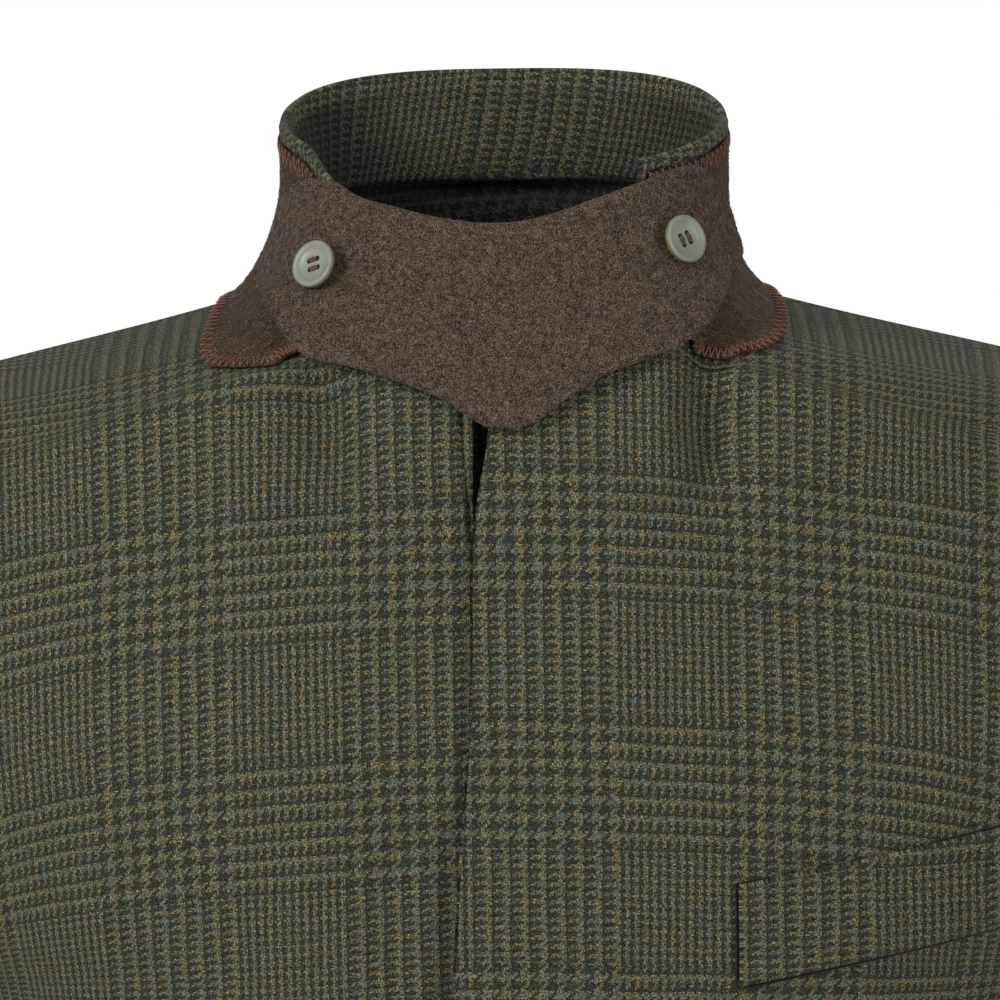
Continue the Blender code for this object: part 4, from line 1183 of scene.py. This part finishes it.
def under_collar_grids():
    """Outside and inside of the felt, from the foot on the shoulders to the turned edge."""
    heights = np.concatenate([[FELT_LOW], np.linspace(FELT_SECOND, FELT_TOP, FELT_ROWS)])
    steps = []
    for (start, count), (end, _) in zip(FELT_STEPS, FELT_STEPS[1:]):
        steps.append(np.linspace(start, end, count, endpoint=False))
    steps = np.concatenate(steps + [[FELT_STEPS[-1][0]]])
    share = (steps - steps[0]) / (steps[-1] - steps[0])
    angle = collar_angles(heights, share, LIP_END)
    angle[:, 0] += END_CLEARANCE
    angle[:, -1] -= END_CLEARANCE
    height = dipped(angle, np.broadcast_to(heights[:, None], angle.shape))
    angles = angle[0]
    left = np.array(FOOT_LEFT, float)
    right = np.array(FOOT_RIGHT, float)
    foot = np.where(
        angles[:, None] <= 180.0,
        curve(left[:, 0], left[:, 1:])(np.minimum(angles, 180.0)),
        curve(right[:, 0], right[:, 1:])(np.minimum(360.0 - angles, 180.0)),
    )
    seam = neck_point(angles, 0.0)
    tree = body_tree()
    grids = []
    for lift in (LAYER_GAP + FELT_WALL, LAYER_GAP):
        lying = []
        for part in FOOT_PARTS:
            lying.append(lying_points(tree, seam + (foot - seam) * part, lift + FOOT_CLEARANCE))
        raised = neck_grid(angle, height, np.full(height.shape, lift))
        grids.append(np.concatenate([lying, raised]))
    return grids


def tab_lying(angle, height, lift):
    """Points where the tab would lie along the felt, moved out by lift; its foot and left end stand off."""
    beside = np.exp(-((np.abs(angle) - TAB_WING_ANGLE) / TAB_WING_SPREAD) ** 2)
    low = 1.0 - ease(height, 0.0, TAB_LOW_HEIGHT)
    base = 2 * LAYER_GAP + FELT_WALL + (TAB_LOW_LIFT + TAB_WING_LIFT * beside) * low
    base = base + TAB_END_LIFT * ease(angle, *TAB_END_ANGLES)
    return neck_grid(angle, height, base + lift)


def tab_grid(angle, height, lift):
    """Points of the stiff tab, which bridges the collar's cavity nearly straight from top to foot."""
    angle, height, lift = np.broadcast_arrays(angle, height, lift)
    edges = TAB_CURVE(angle.ravel()).reshape(angle.shape + (2,))
    top, foot = edges[..., 0], edges[..., 1]
    part = ((height - foot) / (top - foot))[..., None]
    lying = tab_lying(angle, height, lift)
    straight = tab_lying(angle, foot, lift) * (1.0 - part) + tab_lying(angle, top, lift) * part
    return lying + (straight - lying) * TAB_STRAIGHTNESS


def tab_places():
    """Angles and heights of the tab's points: rounded at both ends and pointed below."""
    crowded = np.sin(np.radians(np.linspace(-TAB_CROWDING, TAB_CROWDING, TAB_COLUMNS + 1)))
    angles = np.interp(crowded, crowded[[0, -1]], [TAB_EDGES[0][0], TAB_EDGES[-1][0]])
    edges = TAB_CURVE(angles)
    foot, top = edges[:, 1], edges[:, 0]
    part = np.linspace(0.0, 1.0, TAB_ROWS + 1)[:, None]
    height = foot[None, :] + (top - foot)[None, :] * part
    return np.broadcast_to(angles[None, :], height.shape), height


def add_felt(name, node, outer, inner, material):
    """A felt piece of two grids; felt has no weave, so its grain is nothing."""
    grain = np.zeros(outer.shape[:2] + (2,))
    piece = add_shell(name, outer, inner, grain, material, 0.0)
    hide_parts(node)
    return piece


def grid_normals(grid):
    """Unit normals of a grid's points."""
    return unit(np.cross(np.gradient(grid, axis=1), np.gradient(grid, axis=0)))


def read_grid(values, row, column):
    """Values of a grid at fractional rows and columns."""
    row = np.clip(row, 0, values.shape[0] - 1.001)
    column = np.clip(column, 0, values.shape[1] - 1.001)
    i, j = row.astype(int), column.astype(int)
    a, b = (row - i)[..., None], (column - j)[..., None]
    upper = values[i, j] * (1 - b) + values[i, j + 1] * b
    lower = values[i + 1, j] * (1 - b) + values[i + 1, j + 1] * b
    return upper * (1 - a) + lower * a


def add_fibres(name, grid, count):
    """Loose wool hairs that lie on a felt piece, each a closed three-sided spindle."""
    normals = grid_normals(grid)
    down = np.gradient(grid, axis=0)
    right = np.gradient(grid, axis=1)
    area = np.linalg.norm(np.cross(down, right), axis=-1)[:-1, :-1].ravel()
    spot = RANDOM.choice(len(area), count, p=area / area.sum())
    columns = grid.shape[1] - 1
    row = spot // columns + RANDOM.random(count)
    column = spot % columns + RANDOM.random(count)
    row_step = np.linalg.norm(read_grid(down, row, column), axis=-1)
    column_step = np.linalg.norm(read_grid(right, row, column), axis=-1)
    length = RANDOM.uniform(0.0, 1.0, count) ** 2 * (FIBRE_LENGTH[1] - FIBRE_LENGTH[0]) + FIBRE_LENGTH[0]
    heading = RANDOM.uniform(0.0, 2 * math.pi, count)
    bend = RANDOM.normal(0.0, FIBRE_BEND, count)
    radius = RANDOM.uniform(*FIBRE_RADIUS, count)
    rise = RANDOM.uniform(*FIBRE_RISE, count) ** FIBRE_RISE_POWER
    tone = RANDOM.beta(*FIBRE_TONE, count)
    along = np.linspace(0.0, 1.0, FIBRE_SEGMENTS + 1)
    turn = heading[:, None] + bend[:, None] * along[None, :]
    stride = (length / FIBRE_SEGMENTS)[:, None]
    east = np.cumsum(np.cos(turn) * stride, axis=1)
    north = np.cumsum(np.sin(turn) * stride, axis=1)
    path_row = row[:, None] + north / row_step[:, None]
    path_column = column[:, None] + east / column_step[:, None]
    surface = read_grid(grid, path_row, path_column)
    outward = unit(read_grid(normals, path_row, path_column))
    lift = FIBRE_CLEAR + rise[:, None] * np.sin(math.pi * along)[None, :]
    path = surface + outward * lift[..., None]
    forward = unit(np.gradient(path, axis=1))
    across = unit(np.cross(outward, forward))
    third = np.cross(forward, across)
    rings = []
    for turn_deg in (90, 210, 330):
        angle = math.radians(turn_deg)
        offset = across * math.cos(angle) + third * math.sin(angle)
        rings.append(path[:, 1:-1] + offset[:, 1:-1] * radius[:, None, None])
    body = np.stack(rings, axis=2).reshape(count, -1, 3)
    points = np.concatenate([path[:, :1], body, path[:, -1:]], axis=1)
    each = points.shape[1]
    inner = FIBRE_SEGMENTS - 1
    triangles = []
    quads = []
    for k in range(3):
        after = (k + 1) % 3
        triangles.append((0, 1 + after, 1 + k))
        last = 1 + (inner - 1) * 3
        triangles.append((each - 1, last + k, last + after))
        for ring in range(inner - 1):
            here = 1 + ring * 3
            quads.append((here + k, here + after, here + 3 + after, here + 3 + k))
    first = (np.arange(count) * each)[:, None, None]
    faces = (first + np.array(triangles)[None]).reshape(-1, 3).tolist()
    faces += (first + np.array(quads)[None]).reshape(-1, 4).tolist()
    piece = new_piece(name, points.reshape(-1, 3), faces, HAIRS, tone=np.repeat(tone, each))
    return piece


def tube(path, outward, radius, sides=5):
    """Points and faces of a closed tube along a path that lies on a surface."""
    path = np.asarray(path, float)
    forward = unit(np.gradient(path, axis=0))
    across = unit(np.cross(outward, forward))
    third = np.cross(forward, across)
    points = []
    for k in range(sides):
        angle = 2 * math.pi * k / sides
        points.append(path + (across * math.cos(angle) + third * math.sin(angle)) * radius)
    points = np.stack(points, axis=1).reshape(-1, 3)
    faces = []
    for i in range(len(path) - 1):
        for k in range(sides):
            after = (k + 1) % sides
            faces.append((i * sides + k, i * sides + after, (i + 1) * sides + after, (i + 1) * sides + k))
    faces.append(tuple(range(sides)))
    faces.append(tuple(range((len(path) - 1) * sides, len(path) * sides)))
    return points, faces


def add_tubes(name, tubes, material):
    """One piece of several tubes."""
    points = []
    faces = []
    for tube_points, tube_faces in tubes:
        first = sum(len(p) for p in points)
        points.append(tube_points)
        faces += [tuple(first + k for k in face) for face in tube_faces]
    piece = new_piece(name, np.concatenate(points), faces, material)
    return piece


def add_zigzag(grid):
    """The rust zigzag round the felt: one thread that swings between the edge and the inside."""
    rows, columns = grid.shape[:2]
    normals = grid_normals(grid)
    border = border_of(rows, columns)
    border = np.vstack([border, border[:1]])
    line = grid[border[:, 0], border[:, 1]]
    shown = np.linalg.norm(np.diff(line, axis=0) * np.array(ZIGZAG_WEIGHTS), axis=-1)
    near = np.linalg.norm(line[1:] - np.array(TACK_PLACE), axis=-1) / TACK_REACH
    shown = shown * (1.0 + TACK_CROWDING * np.exp(-near * near))
    far = np.concatenate([[0.0], np.cumsum(shown)])
    count = int(far[-1] / ZIGZAG_PITCH)
    at = np.linspace(0.0, far[-1], count + 1)
    edge = np.stack([np.interp(at, far, line[:, k]) for k in range(3)], axis=-1)
    normal_line = normals[border[:, 0], border[:, 1]]
    outward = unit(np.stack([np.interp(at, far, normal_line[:, k]) for k in range(3)], axis=-1))
    forward = unit(np.gradient(edge, axis=0))
    inward = unit(np.cross(outward, forward))
    row_at = np.interp(at, far, border[:, 0].astype(float))
    column_at = np.interp(at, far, border[:, 1].astype(float))
    probe = read_grid(
        grid,
        np.clip(row_at, 2, rows - 3),
        np.clip(column_at, 2, columns - 3),
    )
    sign = np.sign(np.sum((probe - edge) * inward, axis=-1))[:, None]
    inward = inward * np.where(sign == 0, 1.0, sign)
    swing = np.where(np.arange(count + 1) % 2 == 0, ZIGZAG_WIDTH, -ZIGZAG_OUT)
    swing = swing + RANDOM.normal(0.0, ZIGZAG_SCATTER, count + 1)
    ends = edge + inward * swing[:, None] + outward * ZIGZAG_CLEAR
    path = []
    out = []
    for k in range(count):
        for part in ZIGZAG_PARTS:
            arch = ZIGZAG_ARCH * math.sin(math.pi * part)
            path.append(ends[k] * (1 - part) + ends[k + 1] * part + outward[k] * arch)
            out.append(outward[k])
    return add_tubes("collar_zigzag", [tube(path, np.array(out), ZIGZAG_RADIUS, 4)], RUST_THREAD)


def front_place(side, x, z):
    """Where on a front's loft the point that shows at (x, z) lies."""
    place = np.array([0.5, PLACE["front_chest"]], float)
    loft = BODY[side]
    for _ in range(SEARCH_ROUNDS):
        here = loft(place[0], place[1])
        error = np.array([x - here[0], z - here[2]])
        if np.abs(error).max() < 1e-6:
            break
        across = (loft(place[0] + 0.001, place[1]) - here) / 0.001
        along = (loft(place[0], place[1] + 0.001) - here) / 0.001
        slope = np.array([[across[0], along[0]], [across[2], along[2]]])
        place += np.clip(np.linalg.solve(slope, error), -SEARCH_STEP, SEARCH_STEP)
    return place


def front_patch(side, x, z, lift):
    """One point of a front, moved out by lift."""
    across, along = front_place(side, x, z)
    return body_grid(side, np.array([across]), np.array([along]), lift)[0, 0]


def add_welt_shadow_line(outer, inner):
    """A near-black cord that paints the shadow where the welt meets the front: along its foot, its inner end
    and parts of its top.
    """
    low = inner + (outer - inner) * SHADOW_LINE_LEVEL
    out = unit(outer - inner)
    foot = low[0] + unit(low[0] - low[1]) * SHADOW_LINE_FOOT[0]
    end = low[:, 0] + unit(low[:, 0] - low[:, 1]) * SHADOW_LINE_END[0]
    top = low[-1] + unit(low[-1] - low[-2]) * SHADOW_LINE_TOP[0]
    tubes = [tube(foot, out[0], SHADOW_LINE_FOOT[1]), tube(end, out[:, 0], SHADOW_LINE_END[1])]
    for start, stop in SHADOW_TOP_SHOWN:
        shown = slice(int(start * WELT_COLUMNS), int(stop * WELT_COLUMNS) + 1)
        tubes.append(tube(top[shown], out[-1, shown], SHADOW_LINE_TOP[1]))
    return add_tubes("welt_painted_shadow", tubes, WELT_SHADOW_CORD)


def add_welt():
    """The breast pocket's welt, made from the left front's points moved out."""
    base_x, base_z = WELT_CORNER
    outer = np.empty((WELT_ROWS + 1, WELT_COLUMNS + 1, 3))
    inner = np.empty_like(outer)
    grain = np.empty((WELT_ROWS + 1, WELT_COLUMNS + 1, 2))
    start = CHECK_START["welt_pocket"]
    for i in range(WELT_ROWS + 1):
        for j in range(WELT_COLUMNS + 1):
            part = j / WELT_COLUMNS
            x = base_x + WELT_LENGTH * part
            z = base_z + WELT_SLOPE * part + WELT_HEIGHT * i / WELT_ROWS
            outer[i, j] = front_patch(1, x, z, WELT_STAND + WELT_WALL)
            inner[i, j] = front_patch(1, x, z, WELT_STAND)
            grain[i, j] = (x - start[0], z - start[1])
    # The painted shadow where the welt meets the front
    add_welt_shadow_line(outer, inner)
    piece = add_shell("welt_pocket_cloth", outer, inner, grain, TWEED, 0.0)
    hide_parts("welt_pocket")
    return piece


def button_frame(centre, facing):
    """A turn and a place that set a button on a point, facing out along a direction."""
    facing = Vector(facing).normalized()
    side = Vector((0, 0, 1)).cross(facing).normalized()
    turn = Matrix((side, facing.cross(side), facing)).transposed().to_4x4()
    turn.translation = Vector(centre)
    return np.array(turn)


def placed(frame_matrix, points):
    """Points of a button's own frame, in the coat's."""
    return np.asarray(points) @ frame_matrix[:3, :3].T + frame_matrix[:3, 3]


def add_button(name, radius, centre, facing, pairs):
    """A turned four-hole button and the thread that holds it."""
    thick = radius * BUTTON_THICKNESS
    matrix = button_frame(centre, facing)
    outline = np.array(BUTTON_OUTLINE)
    turns = np.linspace(0.0, 2 * math.pi, BUTTON_SEGMENTS, endpoint=False)
    points = [(0.0, 0.0, outline[0, 1] * thick)]
    share = [(0.0, outline[0, 1], 0.0)]
    for r, h in outline[1:-1]:
        points += [(r * radius * math.cos(t), r * radius * math.sin(t), h * thick) for t in turns]
        share += [(r, h, 0.0)] * BUTTON_SEGMENTS
    points.append((0.0, 0.0, outline[-1, 1] * thick))
    share.append((0.0, outline[-1, 1], 0.0))
    rings = len(outline) - 2
    faces = []
    for k in range(BUTTON_SEGMENTS):
        after = (k + 1) % BUTTON_SEGMENTS
        faces.append((0, 1 + after, 1 + k))
        for ring in range(rings - 1):
            low = 1 + ring * BUTTON_SEGMENTS
            high = low + BUTTON_SEGMENTS
            faces.append((low + k, low + after, high + after, high + k))
        top = 1 + (rings - 1) * BUTTON_SEGMENTS
        faces.append((top + k, top + after, len(points) - 1))
    piece = new_piece(name + "_shell", placed(matrix, points), faces, SHELL, grain=share)
    holes = []
    pins = bmesh.new()
    for turn in range(4):
        angle = math.radians(45 + 90 * turn + HOLE_SPIN)
        spot = (HOLE_PLACE * radius * math.cos(angle), HOLE_PLACE * radius * math.sin(angle))
        holes.append(np.array(spot))
        where = Matrix(matrix.tolist()) @ Matrix.Translation((*spot, thick / 2))
        bmesh.ops.create_cone(
            pins, cap_ends=True, segments=HOLE_SEGMENTS, radius1=HOLE_RADIUS * radius,
            radius2=HOLE_RADIUS * radius, depth=thick * 2, matrix=where,
        )
    bmesh.ops.scale(pins, vec=(MM, MM, MM), verts=pins.verts)
    pin_mesh = bpy.data.meshes.new(name + "_pins")
    pins.to_mesh(pin_mesh)
    pins.free()
    pin_object = bpy.data.objects.new(name + "_pins", pin_mesh)
    bpy.context.scene.collection.objects.link(pin_object)
    cut = piece.modifiers.new("holes", "BOOLEAN")
    cut.operation = "DIFFERENCE"
    cut.solver = "EXACT"
    cut.object = pin_object
    graph = bpy.context.evaluated_depsgraph_get()
    done = bpy.data.meshes.new_from_object(piece.evaluated_get(graph))
    piece.modifiers.clear()
    piece.data = done
    done.set_sharp_from_angle(angle=math.radians(BUTTON_SHARP))
    bpy.data.objects.remove(pin_object, do_unlink=True)
    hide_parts(name)
    tubes = []
    floor = outline[-1, 1] * thick
    for first, second in pairs:
        for shift in (-0.5, 0.5):
            start, end = holes[first], holes[second]
            aside = unit(np.array([start[1] - end[1], end[0] - start[0]])) * shift * 2 * THREAD_RADIUS
            path = []
            for part in np.linspace(0.0, 1.0, THREAD_STEPS + 1):
                flat = start * (1 - part) + end * part + aside * math.sin(math.pi * part)
                dive = min(part, 1 - part)
                level = floor + THREAD_LEVEL - THREAD_DIVE * max(0.0, 1 - dive / THREAD_DIVE_SHARE) ** 2
                path.append((*flat, level))
            up = np.tile([[0.0, 0.0, 1.0]], (len(path), 1))
            tube_points, tube_faces = tube(path, up, THREAD_RADIUS, 7)
            tubes.append((placed(matrix, tube_points), tube_faces))
    add_tubes(name + "_thread", tubes, BROWN_THREAD)
    return matrix


def tab_button_place(place):
    """Centre and facing of a tab button."""
    angle, height, stand, turn, tip = place
    turn = math.radians(turn)
    tip = math.radians(tip)
    facing = np.array([math.sin(turn) * math.cos(tip), -math.cos(turn) * math.cos(tip), math.sin(tip)])
    spot = tab_grid(np.array(angle), np.array(height), np.array(TAB_WALL))
    return spot + facing * stand, facing


def add_tab_buttonhole(name, place, drop):
    """A worked buttonhole under a tab button: close stitches on both sides of a slit and round its end."""
    toward = -math.copysign(1.0, place[0])
    width = 1.0
    near = neck_point(place[0] + width, place[1]) - neck_point(place[0] - width, place[1])
    degree = 1.0 / (np.linalg.norm(near) / (2 * width))
    rise = neck_point(place[0], place[1] + 0.05) - neck_point(place[0], place[1] - 0.05)
    level = 1.0 / (np.linalg.norm(rise) / 0.1)
    tubes = []
    for edge in (-1.0, 1.0):
        for k in range(BUTTONHOLE_STITCHES + 1):
            done = k / BUTTONHOLE_STITCHES
            far = (done - BUTTONHOLE_BEHIND) * BUTTONHOLE_LENGTH + BUTTONHOLE_SHIFT
            tilt = max(0.0, done - FAN_START) / FAN_LENGTH * FAN_TILT
            reach = STITCH_REACH + RANDOM.normal(0.0, STITCH_SCATTER)
            path = []
            for part in (0.0, 0.35, 0.7, 1.0):
                out = edge * (SLIT_HALF + reach * part * math.cos(tilt))
                slide = far + reach * part * math.sin(tilt)
                arch = STITCH_ARCH * math.sin(math.pi * min(part + 0.15, 1.0))
                angle = place[0] + toward * slide * degree
                height = place[1] + out * level - drop * slide * level
                path.append(tab_grid(np.array(angle), np.array(height), np.array(TAB_WALL + arch)))
            path = np.array(path)
            base = neck_point(place[0], place[1])
            outward = np.tile(unit(path[0] - base) if k == 0 else unit(path[1] - base), (4, 1))
            tubes.append(tube(path, outward, HOLE_STITCH_RADIUS, 5))
    return add_tubes(name, tubes, OLIVE_THREAD)


def add_front_buttons():
    """The buttons that close the fronts below the lapels."""
    for number, level in enumerate(FRONT_BUTTON_LEVELS, 1):
        near = front_patch(1, 0.0, level, 0.0)
        spot = front_patch(1, 0.0, level, FRONT_BUTTON_STAND)
        add_button("front_button_%d" % number, FRONT_BUTTON_RADIUS, spot, spot - near, CROSSED_STITCHES)


# Camera, light and floor
CAMERA_TARGET = (-0.0018, -0.100, -0.056)
CAMERA_DISTANCE = 2.6
CAMERA_ELEVATION = 4.0
CAMERA_ROLL = -0.75
VIEW_WIDTH = 0.320
SENSOR = 36.0
FLOOR_DROP = 0.03
FLOOR_HALF = 2.4


def add_camera():
    """The camera at the photograph's angle."""
    data = bpy.data.cameras.new("camera")
    data.sensor_width = SENSOR
    data.lens = SENSOR * CAMERA_DISTANCE / VIEW_WIDTH
    camera = bpy.data.objects.new("camera", data)
    lean = math.radians(CAMERA_ELEVATION)
    target = Vector(CAMERA_TARGET)
    camera.location = target + Vector((0.0, -math.cos(lean), math.sin(lean))) * CAMERA_DISTANCE
    facing = (target - camera.location).to_track_quat("-Z", "Y")
    roll = Matrix.Rotation(math.radians(CAMERA_ROLL), 3, "Z").to_quaternion()
    camera.rotation_euler = (facing @ roll).to_euler()
    bpy.context.scene.collection.objects.link(camera)
    bpy.context.scene.camera = camera


Lamp = namedtuple("Lamp", "name place size power")
LAMPS = [
    Lamp("key", (-1.9, -1.7, 1.0), 0.9, 46.0),
    Lamp("fill", (1.9, -1.8, 0.6), 1.2, 25.0),
    Lamp("top", (0.2, -0.6, 2.2), 1.4, 3.0),
    Lamp("rear", (0.6, 2.2, 1.2), 1.6, 16.0),
]
ROOM_LIGHT = 0.22


def add_studio():
    """Soft lamps, a white surround and a pale floor."""
    for lamp in LAMPS:
        data = bpy.data.lights.new(lamp.name, "AREA")
        data.energy = lamp.power
        data.size = lamp.size
        item = bpy.data.objects.new(lamp.name, data)
        item.location = lamp.place
        aim = Vector(CAMERA_TARGET) - Vector(lamp.place)
        item.rotation_euler = aim.to_track_quat("-Z", "Y").to_euler()
        bpy.context.scene.collection.objects.link(item)
    world = bpy.data.worlds.new("studio")
    world.use_nodes = True
    bpy.context.scene.world = world
    tree = world.node_tree
    seen = tree.nodes.new("ShaderNodeLightPath")
    level = tree.nodes.new("ShaderNodeMapRange")
    level.inputs[3].default_value = ROOM_LIGHT
    level.inputs[4].default_value = 1.0
    tree.links.new(seen.outputs["Is Camera Ray"], level.inputs[0])
    tree.nodes["Background"].inputs[0].default_value = (1.0, 1.0, 1.0, 1.0)
    tree.links.new(level.outputs[0], tree.nodes["Background"].inputs[1])
    n = Nodes("floor")
    place = n.add("TexCoord").outputs["Object"]
    pale = n.ramp(n.noise(place, 3.0), (0.3, (0.80, 0.80, 0.79)), (0.7, (0.84, 0.84, 0.83)))
    material = n.finish(pale, None, 0, 0, Roughness=0.8)
    mesh = bpy.data.meshes.new("floor")
    low = CAD_BOX[0][2] - FLOOR_DROP
    corners = [(x * FLOOR_HALF, y * FLOOR_HALF, low) for x, y in ((-1, -1), (1, -1), (1, 1), (-1, 1))]
    mesh.from_pydata(corners, [], [(0, 1, 2, 3)])
    mesh.materials.append(material)
    floor = bpy.data.objects.new("floor", mesh)
    bpy.context.scene.collection.objects.link(floor)
    bpy.context.scene.view_settings.view_transform = "Standard"


# The form of a cloth piece's cut, in metres: its run and its widths at even steps along that run.
Cut = namedtuple("Cut", "run widths")


add_camera()
add_studio()
front_left = add_panel("front_left", 1, "front_hem", "shoulder", "front_left", "front_chest")
front_right = add_panel("front_right", -1, "front_hem", "shoulder", "front_right", "front_chest")
back_left = add_panel("back_left", 1, "shoulder", "back_hem", "back", "back_waist")
back_right = add_panel("back_right", -1, "shoulder", "back_hem", "back", "back_waist")
top_left, under_left = add_sleeve(1, "left")
top_right, under_right = add_sleeve(-1, "right")
top_collar = add_top_collar()
felt_outer, felt_inner = under_collar_grids()
under_collar = add_felt("under_collar_felt", "under_collar", felt_outer, felt_inner, COLLAR_FELT_PAINTED_SHADE)
tab_angle, tab_height = tab_places()
tab_outer = tab_grid(tab_angle, tab_height, TAB_WALL)
tab_inner = tab_grid(tab_angle, tab_height, 0.0)
throat_tab = add_felt("throat_tab_felt", "throat_tab", tab_outer, tab_inner, TAB_FELT)
welt = add_welt()
add_zigzag(felt_outer)
add_fibres("throat_tab_hairs", tab_outer, TAB_FIBRES)
add_fibres("under_collar_hairs", felt_outer, COLLAR_FIBRES)
for button_name, button_place, stitches, hole_drop in (
    ("tab_button_left", TAB_BUTTON_LEFT, UPRIGHT_STITCHES, 0.55),
    ("tab_button_right", TAB_BUTTON_RIGHT, LEVEL_STITCHES, 0.28),
):
    button_spot, button_facing = tab_button_place(button_place)
    add_button(button_name, TAB_BUTTON_RADIUS, button_spot, button_facing, stitches)
    add_tab_buttonhole(button_name + "_hole", button_place, hole_drop)
add_front_buttons()

bpy.context.view_layer.update()
